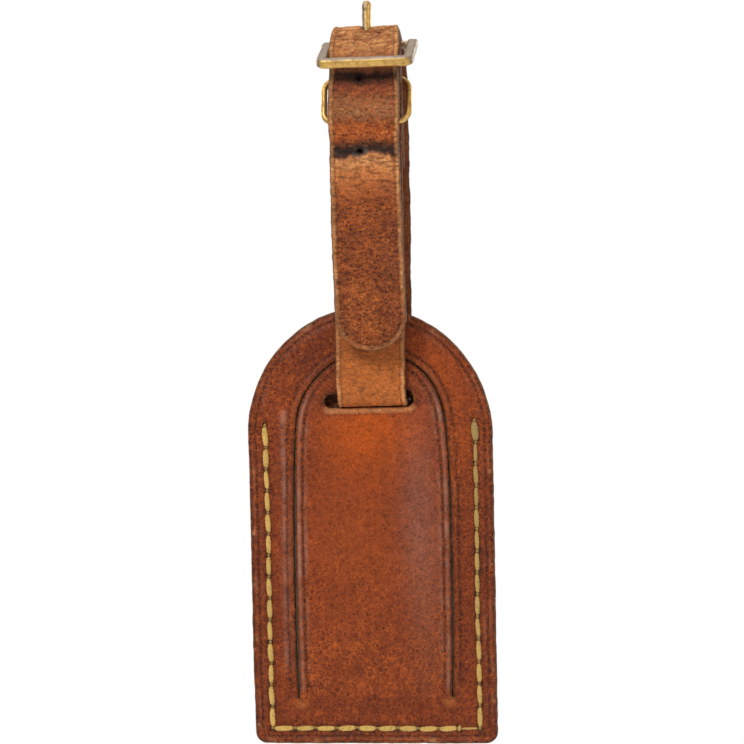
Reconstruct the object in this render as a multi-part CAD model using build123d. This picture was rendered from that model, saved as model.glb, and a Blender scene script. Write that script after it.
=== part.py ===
from build123d import *
import os
from math import sin, cos, radians, hypot

# Leather luggage tag: a stitched two-panel case with a tongue flap, hung on a leather strap with a
# brass buckle. Millimetres, +Z up, front of the tag towards -Y, right-hand side towards +X.
# Origin: the middle of the strap loop, where a bag handle passes, on the case's mid-plane.
# Every height named *_Z is above the case's bottom edge; frame_z() moves it into the part frame.

LOOP_Z = 130.0           # height of the loop centre, which is the origin
CUT_PAST = 1.0           # how far a cutter runs past the faces it cuts

# ---------------------------------------------------------------- case dimensions
CASE_HALF_BOTTOM = 31.0  # half width at the bottom edge
CASE_HALF_TOP = 31.7     # half width where the arch starts, also the arch radius
ARCH_Z = 79.2            # arch centre
CORNER_R = 3.0           # bottom corner radius
CASE_HALF_T = 2.55       # half the case thickness
PANEL_T = 2.2            # thickness of the front panel and the tongue
EDGE_R = 0.45            # rounding of the outer cut edges
SEAM_GAP = 0.02          # gap between the two panels

Y_FRONT = -CASE_HALF_T
Y_SEAM = Y_FRONT + PANEL_T           # back face of the front panel
BACK_PANEL_Y = Y_SEAM + SEAM_GAP     # front face of the back panel

# tongue cut in the front panel
TONGUE_HALF = 19.8       # half width of the tongue, also its arch radius
TONGUE_BASE_Z = 11.4     # where the tongue meets the front panel
TONGUE_ARCH_Z = 79.9     # centre of the tongue's arch
CUT_GAP = 0.8            # width of the cut round the tongue
BASE_GAP = 0.3           # relief left at the bend line

# slots for the strap: the one in the back panel is cut closer to the strap
SLOT_Z0, SLOT_Z1 = 86.2, 89.7
SLOT_W = 23.0
BACK_SLOT_W = 20.0
BACK_SLOT_X = 1.7

# card and its pocket
CARD_HALF_W = 24.0
CARD_Z0, CARD_Z1 = 8.2, 84.5
CARD_T = 0.4
CARD_CORNER_R = 2.0
POCKET_DEPTH = 0.66
POCKET_SIDE_PLAY = 0.6   # room on each side of the card
POCKET_Z0 = 7.4
POCKET_CUT_Z1 = 130.0    # top of the pocket cutter, well above the case
POCKET_CUT_PAST = 0.5    # how far the cutter starts in front of the back panel

# saddle stitching
THREAD_R = 0.45
THREAD_STEP = 0.07       # runs are this much thinner than the thread, knots this much fatter
THREAD_CLEARANCE = 0.03  # between the case faces and the thread
STITCH_HOLE_R = 0.62
STITCH_PUNCH_Y = 4.0     # half length of the hole cutters
SIDE_STITCHES = 14
BOTTOM_STITCHES = 10
STITCH_Z_TOP, STITCH_Z_BOTTOM = 82.0, 4.0
STITCH_X_TOP, STITCH_X_BOTTOM = 27.2, 26.4

# ---------------------------------------------------------------- strap dimensions
STRAP_W = 18.0
STRAP_T = 1.9
STRAP_EDGE_R = 0.35
RUN_Y = 3.6              # distance of each lower run's mid-surface from the case mid-plane
FRONT_X = 1.6            # sideways place of the front run
REAR_X = 2.2             # sideways place of the rear run
FOLD_X = 2.0             # sideways place of the top fold
TIP_X = 1.8              # sideways place of the free end
BIGHT_X = (FRONT_X + REAR_X) / 2 - 0.2
PIECE_GAP = 0.15         # gap between neighbouring strap pieces

# bight: the turn through the slot
BIGHT_R = 0.35 + STRAP_T / 2                 # inner radius plus half the strap
BIGHT_MID_Z = SLOT_Z0 + 0.25 + STRAP_T / 2   # mid-surface, 0.25 clear of the slot's bottom
BIGHT_TOP_Z = 92.0

FRONT_SPLIT_Z = 108.0    # where the front run is divided
FLEX_Z = 142.0           # where the loop bends when the tag swings
FLEX_GAP = 1.3           # half the gap left in each run at the bend
REAR_TOP_Z = 174.0

TIP_END_Z = 100.7        # lowest point of the free end
TIP_JOINT_Z = 150.0      # where the top fold ends and the free end starts
TIP_JOINT_GAP = 0.5      # half the gap there
TIP_R = STRAP_W / 2 + 0.2
TIP_CUT_Z1 = 160.0       # top of the shape that trims the free end

# ---------------------------------------------------------------- buckle and keeper dimensions
PIVOT_Y, PIVOT_Z = -1.4, 179.5
FRAME_X = 2.0
FRAME_W = 24.6           # outer width
FRAME_BAR_W = 2.8        # width of each side, in the frame's plane
FRAME_T = 2.5            # thickness
FRAME_REACH = 12.4       # pivot axis to middle of the front bar
FRAME_TILT = 26.4        # front bar hangs this many degrees below the pivot
FRAME_OUTER_R = 2.4
FRAME_INNER_R = 1.2
FRAME_OPENING_PAST = 3.0  # the opening runs this far past the sides' rear ends
FRAME_RIM_R = 0.7
FRAME_RIM_CHAMFER = 0.4
PIN_R = 1.1
PIN_INSET = 0.25         # each end of the pivot bar, inside the frame's side

PRONG_R = 1.15
PRONG_HEAD_R = 1.35
PRONG_TIP_Z = 191.3
PRONG_ROOT = 1.6         # shaft's lower end above the pivot axis
PRONG_SLOT_HALF = 1.6    # half width of the slots that the prong passes
EYE_IN_R, EYE_OUT_R, EYE_W = PIN_R + 0.05, 2.1, 2.3

KEEPER_W, KEEPER_L = 23.4, 14.3   # outer width and outer length
KEEPER_WIRE_R = 0.75
KEEPER_CORNER_R = 3.0
KEEPER_X, KEEPER_Y, KEEPER_Z = 1.5, -2.62, 165.3
KEEPER_TILT = 64.3       # degrees from level; the front bar is the lower one

# ---------------------------------------------------------------- wrap round the pivot bar
WRAP_R = RUN_Y + PIVOT_Y             # mid-surface radius
WRAP_RISE = 33.0                     # straight length of the front run below the wrap
TURN_Y = -RUN_Y + STRAP_T + 0.05     # mid-surface of the turned-back end
TURN_BLEND = 6.6                     # height over which the turned-back end closes in
TURN_END_Z = 148.0
WRAP_STEPS = 6                       # spacing of points on the straight lengths
# cutters for the prong slot: (centre above the pivot, height)
WRAP_SLOTS = [(0, 5.6), (2.6, 5.0)]

# row of stitches that closes the wrap
FOLD_STITCH_Z = 151.5
FOLD_STITCH_PITCH = 3.15
FOLD_STITCH_X = [FRONT_X + FOLD_STITCH_PITCH * i for i in range(-2, 3)]
FOLD_STITCH_POINTS = [(x, FOLD_STITCH_Z) for x in FOLD_STITCH_X]
FOLD_HOLE_R = 0.55
FOLD_LEG_R, FOLD_RUN_R, FOLD_KNOT_R = 0.4, 0.33, 0.5
FOLD_THREAD_OUT = 0.43               # thread centre outside the leather
FOLD_FRONT_Y = -RUN_Y - STRAP_T / 2
FOLD_BACK_Y = TURN_Y + STRAP_T / 2

# top fold and free end, centre lines: (y, height)
FOLD_R = WRAP_R + STRAP_T + 0.2
FOLD_DESCENT = [
    (-5.05, 181.65), (-6.5, 179.9), (-7.7, 178.2), (-8.45, 176.4), (-8.75, 174.4),
    (-8.6, 172.2), (-8.2, 169.6), (-7.75, 166.8), (-7.45, 163.8), (-7.35, 160.5),
    (-7.38, 157.0), (-7.5, 153.6), (-7.65, TIP_JOINT_Z + TIP_JOINT_GAP),
]
TIP_PATH = [
    (-7.7, TIP_JOINT_Z - TIP_JOINT_GAP), (-8.0, 143.0), (-8.4, 134.0), (-8.85, 124.0),
    (-9.25, 114.0), (-9.55, 106.0), (-9.7, TIP_END_Z - 0.2),
]
# prong holes
HOLE_R = 1.4
HOLE_CUT_HALF = 4.0                            # half length of each cutter
FOLD_HOLES = [(-9, 170.7), (-8, 153.6)]        # cutter centres (y, height)
TOP_HOLE_L = 4.4                               # hole at the top of the fold, along Y
TOP_HOLE_RISE = 6                              # cutter centre above the pivot, and half its height


# ---------------------------------------------------------------- helpers
def frame_z(z):
    """Height above the case's bottom edge to height in the part frame."""
    return z - LOOP_Z


def front_plane(y):
    """Plane facing the front at depth y: local x is +X, local y is height."""
    return Plane(origin=(0, y, -LOOP_Z), x_dir=(1, 0, 0), z_dir=(0, -1, 0))


def side_plane(x):
    """Plane across the object at x: local x is +Y, local y is height."""
    return Plane(origin=(x, 0, -LOOP_Z), x_dir=(0, 1, 0), z_dir=(1, 0, 0))


def tilted_plane(x, y, z, tilt):
    """Level plane tipped so its front goes down by tilt degrees: local y runs back and up."""
    angle = radians(tilt)
    return Plane(origin=(x, y, frame_z(z)), x_dir=(1, 0, 0), z_dir=(0, -sin(angle), cos(angle)))


def arch_wire(half_bottom, half_top, z_bottom, z_arch, corner=0):
    """Closed outline: flat bottom, sides to the arch, round top; bottom corners may be rounded."""
    z_side = z_bottom + corner
    x_side = half_bottom + (half_top - half_bottom) * corner / (z_arch - z_bottom)
    x_flat = half_bottom - corner
    edges = [
        Line((-x_flat, z_bottom), (x_flat, z_bottom)),
        Line((x_side, z_side), (half_top, z_arch)),
        ThreePointArc((half_top, z_arch), (0, z_arch + half_top), (-half_top, z_arch)),
        Line((-half_top, z_arch), (-x_side, z_side)),
    ]
    if corner > 0:
        inset = corner * (1 - 0.7071068)
        x_mid, z_mid = half_bottom - inset, z_bottom + inset
        edges.insert(1, ThreePointArc((x_flat, z_bottom), (x_mid, z_mid), (x_side, z_side)))
        edges.append(ThreePointArc((-x_side, z_side), (-x_mid, z_mid), (-x_flat, z_bottom)))
    return Wire(edges)


def slab(wire, y_front, thickness):
    """Flat sheet with the outline wire, its front face at y_front."""
    return extrude(front_plane(y_front) * Face(wire), amount=thickness, dir=(0, 1, 0))


def y_cylinder(x, z, radius, y0, y1):
    """Round bar along Y between y0 and y1."""
    return Location((x, (y0 + y1) / 2, frame_z(z)), (90, 0, 0)) * Cylinder(radius, y1 - y0)


def punch(points, radius, y0, y1):
    """Cutter for a row of holes at (x, height) points."""
    return Compound(children=[y_cylinder(x, z, radius, y0, y1) for x, z in points])


def rod(start, end, radius):
    """Plain round bar from start to end."""
    start = Vector(*start)
    span = Vector(*end) - start
    bar = Cylinder(radius, span.length, align=(Align.CENTER, Align.CENTER, Align.MIN))
    return Plane(origin=start, z_dir=span) * bar


def stitching(points, y_front, y_back, leg_r, run_r, knot_r):
    """Thread through every hole, with a run on the front and the back at each step."""
    depths = (y_front, y_back)
    legs = [rod((x, y_front, frame_z(z)), (x, y_back, frame_z(z)), leg_r) for x, z in points]
    runs = [
        rod((x0, y, frame_z(z0)), (x1, y, frame_z(z1)), run_r)
        for (x0, z0), (x1, z1) in zip(points, points[1:])
        for y in depths
    ]
    knots = [Location((x, y, frame_z(z))) * Sphere(knot_r) for x, z in points for y in depths]
    return legs[0].fuse(*(legs[1:] + runs + knots))


def slot_cutter(x, width, y0, y1):
    """Round-ended strap slot lying along X, cut from y0 to y1."""
    slot = Location((x, (SLOT_Z0 + SLOT_Z1) / 2)) * SlotOverall(width, SLOT_Z1 - SLOT_Z0)
    return extrude(front_plane(y0) * slot, amount=y1 - y0, dir=(0, 1, 0))


def strip(path, x_mid, smooth=True):
    """Strap piece along the centre line path, a list of (y, height)."""
    last = len(path) - 1
    side_a, side_b = [], []
    for i, (y, z) in enumerate(path):
        before, after = path[max(i - 1, 0)], path[min(i + 1, last)]
        dy, dz = after[0] - before[0], after[1] - before[1]
        length = hypot(dy, dz)
        off_y, off_z = -dz / length * STRAP_T / 2, dy / length * STRAP_T / 2
        side_a.append((y + off_y, z + off_z))
        side_b.append((y - off_y, z - off_z))
    if smooth and len(path) > 2:
        edges = [
            Spline(*side_a),
            Line(side_a[-1], side_b[-1]),
            Spline(*side_b[::-1]),
            Line(side_b[0], side_a[0]),
        ]
    else:
        edges = Polyline(*side_a, *side_b[::-1], close=True).edges()
    face = side_plane(x_mid - STRAP_W / 2) * Face(Wire(edges))
    return extrude(face, amount=STRAP_W, dir=(1, 0, 0))


def soften(solid):
    """Round the edges of a strap piece's two flat sides, leaving out very short edges."""
    # Guards against a fillet that fails or spoils the solid: the piece then stays square-edged.
    try:
        faces = solid.faces().filter_by(Axis.X)
        edges = [e for f in faces for e in f.edges() if e.length > 4 * STRAP_EDGE_R]
        rounded = fillet(edges, STRAP_EDGE_R)
        if rounded.is_valid and abs(rounded.volume - solid.volume) < 0.2 * solid.volume:
            return rounded
    except Exception:
        pass
    return solid


def straight_run(y, z0, z1, x_mid):
    """Upright strap piece at depth y."""
    return soften(strip([(y, z0), (y, z1)], x_mid))


def arc_points(center_y, center_z, radius, start, end, steps):
    """Points on a circle, angles in degrees from +Y towards +Z."""
    angles = [radians(start + (end - start) * i / steps) for i in range(steps + 1)]
    return [(center_y + radius * cos(a), center_z + radius * sin(a)) for a in angles]


def bezier(p0, p1, p2, p3, steps):
    """Points on a cubic Bezier curve."""
    points = []
    for i in range(steps + 1):
        s = i / steps
        weights = ((1 - s) ** 3, 3 * s * (1 - s) ** 2, 3 * s * s * (1 - s), s ** 3)
        points.append(tuple(
            sum(w * p[k] for w, p in zip(weights, (p0, p1, p2, p3))) for k in (0, 1)
        ))
    return points


# ---------------------------------------------------------------- case
def case_stitch_points():
    """Hole centres (x, height) down the left side, along the bottom and up the right side."""
    left = []
    for k in range(SIDE_STITCHES + 1):
        f = k / SIDE_STITCHES
        x = STITCH_X_TOP + (STITCH_X_BOTTOM - STITCH_X_TOP) * f
        left.append((-x, STITCH_Z_TOP + (STITCH_Z_BOTTOM - STITCH_Z_TOP) * f))
    bottom = [
        (-STITCH_X_BOTTOM + 2 * STITCH_X_BOTTOM * k / BOTTOM_STITCHES, STITCH_Z_BOTTOM)
        for k in range(1, BOTTOM_STITCHES)
    ]
    right = [(-x, z) for x, z in reversed(left)]
    return left + bottom + right


def case_panel(y_front, thickness, outer_face):
    """Full case outline with its outer face's rim rounded; outer_face: 0 front, -1 back."""
    outline = arch_wire(CASE_HALF_BOTTOM, CASE_HALF_TOP, 0, ARCH_Z, CORNER_R)
    panel = slab(outline, y_front, thickness)
    return fillet(panel.faces().sort_by(Axis.Y)[outer_face].outer_wire().edges(), EDGE_R)


def case_punch():
    return punch(case_stitch_points(), STITCH_HOLE_R, -STITCH_PUNCH_Y, STITCH_PUNCH_Y)


def front_panel():
    panel = case_panel(Y_FRONT, PANEL_T, 0)
    half = TONGUE_HALF + CUT_GAP
    window = arch_wire(half, half, TONGUE_BASE_Z - BASE_GAP / 2, TONGUE_ARCH_Z)
    panel -= slab(window, Y_FRONT - CUT_PAST, PANEL_T + 2 * CUT_PAST)
    return panel - case_punch()


def back_panel():
    """Back panel, with a shallow card pocket in its front face, open at the arch."""
    panel = case_panel(BACK_PANEL_Y, CASE_HALF_T - BACK_PANEL_Y, -1)
    pocket = front_plane(BACK_PANEL_Y - POCKET_CUT_PAST) * (
        Location((0, (POCKET_Z0 + POCKET_CUT_Z1) / 2))
        * Rectangle(2 * (CARD_HALF_W + POCKET_SIDE_PLAY), POCKET_CUT_Z1 - POCKET_Z0)
    )
    panel -= extrude(pocket, amount=POCKET_DEPTH + POCKET_CUT_PAST, dir=(0, 1, 0))
    panel -= slot_cutter(
        BACK_SLOT_X, BACK_SLOT_W, BACK_PANEL_Y - CUT_PAST, CASE_HALF_T + CUT_PAST
    )
    return panel - case_punch()


def tongue_flap():
    """Tongue with its front rim rounded, except along the base."""
    outline = arch_wire(TONGUE_HALF, TONGUE_HALF, TONGUE_BASE_Z + BASE_GAP / 2, TONGUE_ARCH_Z)
    flap = slab(outline, Y_FRONT, PANEL_T)
    rim = flap.faces().sort_by(Axis.Y)[0].outer_wire().edges()
    flap = fillet([e for e in rim if e.center().Z > frame_z(TONGUE_BASE_Z + 1)], EDGE_R)
    return flap - slot_cutter(0, SLOT_W, Y_FRONT - CUT_PAST, Y_SEAM + CUT_PAST)


def address_card():
    """Card, midway through the pocket's depth."""
    y_mid = BACK_PANEL_Y + POCKET_DEPTH / 2
    outline = front_plane(y_mid - CARD_T / 2) * (
        Location((0, (CARD_Z0 + CARD_Z1) / 2))
        * RectangleRounded(2 * CARD_HALF_W, CARD_Z1 - CARD_Z0, CARD_CORNER_R)
    )
    return extrude(outline, amount=CARD_T, dir=(0, 1, 0))


def saddle_stitching():
    y = CASE_HALF_T + THREAD_R + THREAD_CLEARANCE
    return stitching(
        case_stitch_points(), -y, y, THREAD_R, THREAD_R - THREAD_STEP, THREAD_R + THREAD_STEP
    )


# ---------------------------------------------------------------- strap
def strap_slot_bight():
    """Turn through the slot, under the leather left above it."""
    turn_z = BIGHT_MID_Z + BIGHT_R
    path = [(-RUN_Y, BIGHT_TOP_Z), (-RUN_Y, turn_z)]
    path += arc_points(-RUN_Y + BIGHT_R, turn_z, BIGHT_R, 180, 270, 8)[1:]
    path += arc_points(RUN_Y - BIGHT_R, turn_z, BIGHT_R, 270, 360, 8)
    path += [(RUN_Y, BIGHT_TOP_Z)]
    return strip(path, BIGHT_X, smooth=False)


def strap_front_lower():
    return straight_run(-RUN_Y, BIGHT_TOP_Z + PIECE_GAP, FRONT_SPLIT_Z, FRONT_X)


def strap_front_mid():
    return straight_run(-RUN_Y, FRONT_SPLIT_Z + PIECE_GAP, FLEX_Z - FLEX_GAP, FRONT_X)


def strap_rear_lower():
    return straight_run(RUN_Y, BIGHT_TOP_Z + PIECE_GAP, FLEX_Z - FLEX_GAP, REAR_X)


def strap_rear_upper():
    return straight_run(RUN_Y, FLEX_Z + FLEX_GAP, REAR_TOP_Z, REAR_X)


def strap_front_upper():
    """Front run above the bend: up, round the pivot bar and back down behind itself."""
    steps = WRAP_STEPS
    wrap_back_y = PIVOT_Y + WRAP_R
    turn_z = PIVOT_Z - TURN_BLEND
    path = [(-RUN_Y, FLEX_Z + FLEX_GAP + WRAP_RISE * i / steps) for i in range(steps + 1)]
    path += arc_points(PIVOT_Y, PIVOT_Z, WRAP_R, 180, 0, 14)
    path += bezier(
        (wrap_back_y, PIVOT_Z), (wrap_back_y, PIVOT_Z - 2.6),
        (TURN_Y, PIVOT_Z - 3.0), (TURN_Y, turn_z), 8,
    )[1:]
    path += [(TURN_Y, turn_z - (turn_z - TURN_END_Z) * i / steps) for i in range(1, steps + 1)]
    run = soften(strip(path, FRONT_X))
    for rise, height in WRAP_SLOTS:
        place = Location((FRAME_X, PIVOT_Y, frame_z(PIVOT_Z) + rise))
        run -= place * Box(2 * PRONG_SLOT_HALF, 12, height)
    return run - punch(
        FOLD_STITCH_POINTS, FOLD_HOLE_R, FOLD_FRONT_Y - CUT_PAST, FOLD_BACK_Y + CUT_PAST
    )


def fold_stitching():
    """Stitches that close the wrap."""
    return stitching(
        FOLD_STITCH_POINTS, FOLD_FRONT_Y - FOLD_THREAD_OUT, FOLD_BACK_Y + FOLD_THREAD_OUT,
        FOLD_LEG_R, FOLD_RUN_R, FOLD_KNOT_R,
    )


def strap_top_fold():
    """Over the wrap, down through the frame and past the front of the keeper."""
    path = [
        (RUN_Y, REAR_TOP_Z + PIECE_GAP),
        (RUN_Y, REAR_TOP_Z + 2.0),
        (RUN_Y - 0.15, REAR_TOP_Z + 3.6),
    ]
    path += arc_points(PIVOT_Y, PIVOT_Z, FOLD_R, 20, 118, 9)
    path += FOLD_DESCENT
    fold = soften(strip(path, FOLD_X))
    top_hole = SlotOverall(TOP_HOLE_L, 2 * PRONG_SLOT_HALF, 90)
    place = Location((FRAME_X, PIVOT_Y, frame_z(PIVOT_Z) + TOP_HOLE_RISE))
    fold -= place * extrude(top_hole, amount=TOP_HOLE_RISE, both=True)
    for y, z in FOLD_HOLES:
        fold -= y_cylinder(FRAME_X, z, HOLE_R, y - HOLE_CUT_HALF, y + HOLE_CUT_HALF)
    return fold


def strap_tip_run():
    """Free end, trimmed to a round tip."""
    round_z = TIP_END_Z + TIP_R
    trim = front_plane(-20) * (
        Location((TIP_X, (round_z + TIP_CUT_Z1) / 2))
        * Rectangle(STRAP_W + 2, TIP_CUT_Z1 - round_z)
        + Location((TIP_X, round_z)) * Circle(TIP_R)
    )
    return soften(strip(TIP_PATH, TIP_X) & extrude(trim, amount=20, dir=(0, 1, 0)))


# ---------------------------------------------------------------- buckle and keeper
def pivot_cylinder(radius, length):
    """Round bar along X on the pivot axis."""
    place = Location((FRAME_X, PIVOT_Y, frame_z(PIVOT_Z)), (0, 90, 0))
    return place * Cylinder(radius, length)


def buckle_frame():
    """U-shaped frame, open at the rear, bored for the pivot bar."""
    plane = tilted_plane(FRAME_X, PIVOT_Y, PIVOT_Z, FRAME_TILT)
    rear = FRAME_BAR_W / 2
    front = -(FRAME_REACH + FRAME_BAR_W / 2)
    outer = Location((0, (rear + front) / 2)) * RectangleRounded(
        FRAME_W, rear - front, FRAME_OUTER_R
    )
    inner_rear = rear + FRAME_OPENING_PAST
    inner_front = front + FRAME_BAR_W
    inner = Location((0, (inner_rear + inner_front) / 2)) * RectangleRounded(
        FRAME_W - 2 * FRAME_BAR_W, inner_rear - inner_front, FRAME_INNER_R
    )
    frame = extrude(plane * (outer - inner), amount=FRAME_T / 2, both=True)
    rim = [
        e for e in frame.edges()
        if abs(plane.to_local_coords(e.center()).Z) > FRAME_T / 2 - 0.01
    ]
    # Guards against a rim fillet that fails: a smaller chamfer takes its place.
    try:
        frame = fillet(rim, FRAME_RIM_R)
    except Exception:
        frame = chamfer(rim, FRAME_RIM_CHAMFER)
    return frame - pivot_cylinder(PIN_R, FRAME_W + 4)


def buckle_pivot_bar():
    return pivot_cylinder(PIN_R, FRAME_W - 2 * PIN_INSET)


def buckle_prong():
    """An eye round the pivot bar and a round-headed shaft standing up from it."""
    head_z = PRONG_TIP_Z - PRONG_HEAD_R
    shaft = Location((FRAME_X, PIVOT_Y, frame_z(PIVOT_Z) + PRONG_ROOT)) * Cylinder(
        PRONG_R, head_z - PIVOT_Z - PRONG_ROOT, align=(Align.CENTER, Align.CENTER, Align.MIN)
    )
    head = Location((FRAME_X, PIVOT_Y, frame_z(head_z))) * Sphere(PRONG_HEAD_R)
    prong = shaft + head + pivot_cylinder(EYE_OUT_R, EYE_W)
    return prong - pivot_cylinder(EYE_IN_R, EYE_W + 2)


def keeper_ring():
    """Rounded rectangle of round wire."""
    center_line = RectangleRounded(
        KEEPER_W - 2 * KEEPER_WIRE_R, KEEPER_L - 2 * KEEPER_WIRE_R, KEEPER_CORNER_R
    )
    plane = tilted_plane(KEEPER_X, KEEPER_Y, KEEPER_Z, KEEPER_TILT)
    path = (plane * center_line).face().outer_wire()
    section = Plane(origin=path @ 0, z_dir=path % 0) * Circle(KEEPER_WIRE_R)
    return sweep(section, path=path, transition=Transition.ROUND)


# ---------------------------------------------------------------- write
# each file takes the name of the function that builds its piece
PIECES = [
    front_panel, back_panel, tongue_flap, address_card, saddle_stitching,
    strap_slot_bight, strap_front_lower, strap_front_mid, strap_front_upper,
    strap_rear_lower, strap_rear_upper, strap_top_fold, strap_tip_run, fold_stitching,
    buckle_frame, buckle_pivot_bar, buckle_prong, keeper_ring,
]
os.makedirs("parts", exist_ok=True)
for piece in PIECES:
    export_step(piece(), f"parts/{piece.__name__}.step")
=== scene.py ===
"""A worn leather address tag hanging from a buckled strap.

The case is two arched leather panels sewn together, the front one with an arched cut that frees
a tongue. One strap passes through the slot near the top, over the buckle and down the front.

Lengths are in millimetres: x to the right seen from the front, y towards the back, z up from
the foot of the case. On the strap, u runs across and s along its path.
"""
import math
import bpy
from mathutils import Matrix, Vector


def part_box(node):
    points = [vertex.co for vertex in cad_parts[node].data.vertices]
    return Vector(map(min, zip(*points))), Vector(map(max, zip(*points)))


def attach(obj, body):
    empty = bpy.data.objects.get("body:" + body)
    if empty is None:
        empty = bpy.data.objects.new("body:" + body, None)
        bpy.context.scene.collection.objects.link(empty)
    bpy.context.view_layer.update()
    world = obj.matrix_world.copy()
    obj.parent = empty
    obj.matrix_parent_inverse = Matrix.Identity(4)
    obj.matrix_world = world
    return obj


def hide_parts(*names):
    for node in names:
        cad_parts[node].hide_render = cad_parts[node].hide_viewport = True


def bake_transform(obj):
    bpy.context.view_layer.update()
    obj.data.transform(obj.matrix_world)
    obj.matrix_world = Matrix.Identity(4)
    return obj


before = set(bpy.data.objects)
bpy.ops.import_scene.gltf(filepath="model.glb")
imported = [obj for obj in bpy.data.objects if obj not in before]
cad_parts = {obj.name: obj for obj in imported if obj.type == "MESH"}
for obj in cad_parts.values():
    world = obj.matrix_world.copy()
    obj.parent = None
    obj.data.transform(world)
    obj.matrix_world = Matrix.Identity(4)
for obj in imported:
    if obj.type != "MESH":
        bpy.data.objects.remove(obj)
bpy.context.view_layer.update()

from types import SimpleNamespace

import bpy
import numpy as np
from mathutils import Matrix, Vector, geometry, kdtree
from numpy.linalg import norm

FOOT_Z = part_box("front_panel")[0].z * 1000.0    # the case's foot in the frame
FRONT_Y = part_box("front_panel")[0].y * 1000.0   # front face of the front panel
BACK_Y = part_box("back_panel")[1].y * 1000.0     # back face of the back panel

# Case
FOOT_HALF = 31.0        # half width at the foot
ARCH_R = 31.7           # radius of the arched top
ARCH_Z = 79.2           # height of the arch's centre
CORNER_R = 3.0          # bottom corners
PANEL_T = 2.2           # panel thickness
RIM = 0.45              # how far a rounded rim stands out from its flat face
CUT_RIM = 0.26          # the same along the arched cut
JOIN_Z = 12.9           # height where the tongue meets the panel
SLOT_LOW, SLOT_TOP = 86.2, 89.7

# Seam
SEAM_TOP_HALF, SEAM_TOP_Z = 27.2, 82.0
SEAM_FOOT_HALF, SEAM_FOOT_Z = 26.4, 4.0
SEAM_LEAN = 0.8         # how much each side closes in from top to foot
SIDE_STITCHES, FOOT_STITCHES = 14, 10

# Strap
STRAP_T = 1.9
STRAP_HALF = 9.0
TIP_R = 9.3             # length of the rounded tip
EDGE_R = 0.5            # rounding of the cut edges
RUN_Y = 3.6             # middle of the front and rear runs, either side of y = 0
TAIL_Y = -RUN_Y + STRAP_T + 0.05                # buckle end, folded behind the front run
BIGHT_Z = SLOT_LOW + 0.25 + STRAP_T / 2
BIGHT_R = 0.35 + STRAP_T / 2
FOLD_SEAM_Z = 151.5

# Buckle
PIVOT_X, PIVOT_Y, PIVOT_Z = 2.0, -1.4, 179.5
WRAP_R = 2.2            # strap's turn round the pin
FOLD_R = 4.3            # outer turn of the strap above it


# ------------------------------------------------------------------ numbers and noise
def lattice(ix, iy, iz, seed):
    """Repeatable value from -1 to 1 at a grid point."""
    h = (ix * 374761393 + iy * 668265263 + iz * 2147483647 + seed * 974634777) & 0xFFFFFFFF
    h = ((h ^ (h >> 13)) * 1274126177) & 0xFFFFFFFF
    h = h ^ (h >> 16)
    return (h & 0xFFFFFF) / float(0xFFFFFF) * 2.0 - 1.0


def noise(x, y, size=1.0, seed=1, z=0.0):
    """Smooth noise from -1 to 1; size is its grain, one number or a pair for x and y."""
    size_x, size_y = np.broadcast_to(size, 2)
    x, y = np.asarray(x, float) / size_x, np.asarray(y, float) / size_y
    z = np.zeros_like(x) + z
    floors = [np.floor(c) for c in (x, y, z)]
    ix, iy, iz = (f.astype(np.int64) for f in floors)
    parts = (c - f for c, f in zip((x, y, z), floors))
    u, v, w = (t * t * t * (t * (t * 6 - 15) + 10) for t in parts)
    total = 0.0
    for dx in (0, 1):
        for dy in (0, 1):
            for dz in (0, 1):
                value = lattice(ix + dx, iy + dy, iz + dz, seed)
                weight_x, weight_y = (u if dx else 1 - u), (v if dy else 1 - v)
                total = total + value * weight_x * weight_y * (w if dz else 1 - w)
    return total


def fbm(x, y, size=1.0, seed=1, octaves=4, z=0.0):
    """Layered noise, each octave twice as fine and half as strong."""
    size_x, size_y = np.broadcast_to(size, 2)
    x, y = x / size_x, y / size_y
    strength, frequency, total, weight = 1.0, 1.0, 0.0, 0.0
    for k in range(octaves):
        layer = noise(x * frequency + 17.3 * k, y * frequency - 9.1 * k, seed=seed + 31 * k, z=z)
        total = total + strength * layer
        weight += strength
        strength *= 0.5
        frequency *= 2.03
    return total / weight


def unit(x):
    return np.clip(x, 0, 1)


def rise(start, end, x):
    """Smooth step from 0 at start to 1 at end, whichever is larger."""
    t = unit((np.asarray(x, float) - start) / (end - start))
    return t * t * (3 - 2 * t)


def bell(x, width):
    return np.exp(-(np.asarray(x, float) / width) ** 2)


def spot(x, z, at, size):
    """Soft elliptical spot."""
    return bell(np.hypot((x - at[0]) / size[0], (z - at[1]) / size[1]), 1.0)


def ridge(value, power):
    """Sharp lines where a noise crosses zero."""
    return (1 - np.abs(value)) ** power


# ------------------------------------------------------------------ colours
def linear(color):
    """Linear colour from sRGB bytes."""
    c = np.asarray(color, float) / 255.0
    return np.where(c <= 0.04045, c / 12.92, ((c + 0.055) / 1.055) ** 2.4)


def rgba(*color):
    return tuple(float(v) for v in linear(color)) + (1.0,)


def over(under, color, amount):
    """Lay one colour over another; a tuple is sRGB bytes, an array is linear already."""
    under, color = (linear(c) if isinstance(c, tuple) else c for c in (under, color))
    amount = np.asarray(amount, float)[..., None]
    return under * (1 - amount) + color * amount


def lay(base, layers):
    for color, amount in layers:
        base = over(base, color, amount)
    return base


def ramp_color(t, stops):
    """Colour looked up in (position, sRGB bytes) stops."""
    places = np.array([place for place, _ in stops])
    colors = np.array([linear(color) for _, color in stops])
    return np.stack([np.interp(t, places, colors[:, j]) for j in range(3)], -1)


# ------------------------------------------------------------------ lines in two dimensions
def unit_rows(v):
    return v / np.maximum(norm(v, axis=-1, keepdims=True), 1e-12)


def tangents(line, closed):
    if closed:
        return unit_rows(np.roll(line, -1, 0) - np.roll(line, 1, 0))
    return unit_rows(np.gradient(line, axis=0))


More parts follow.
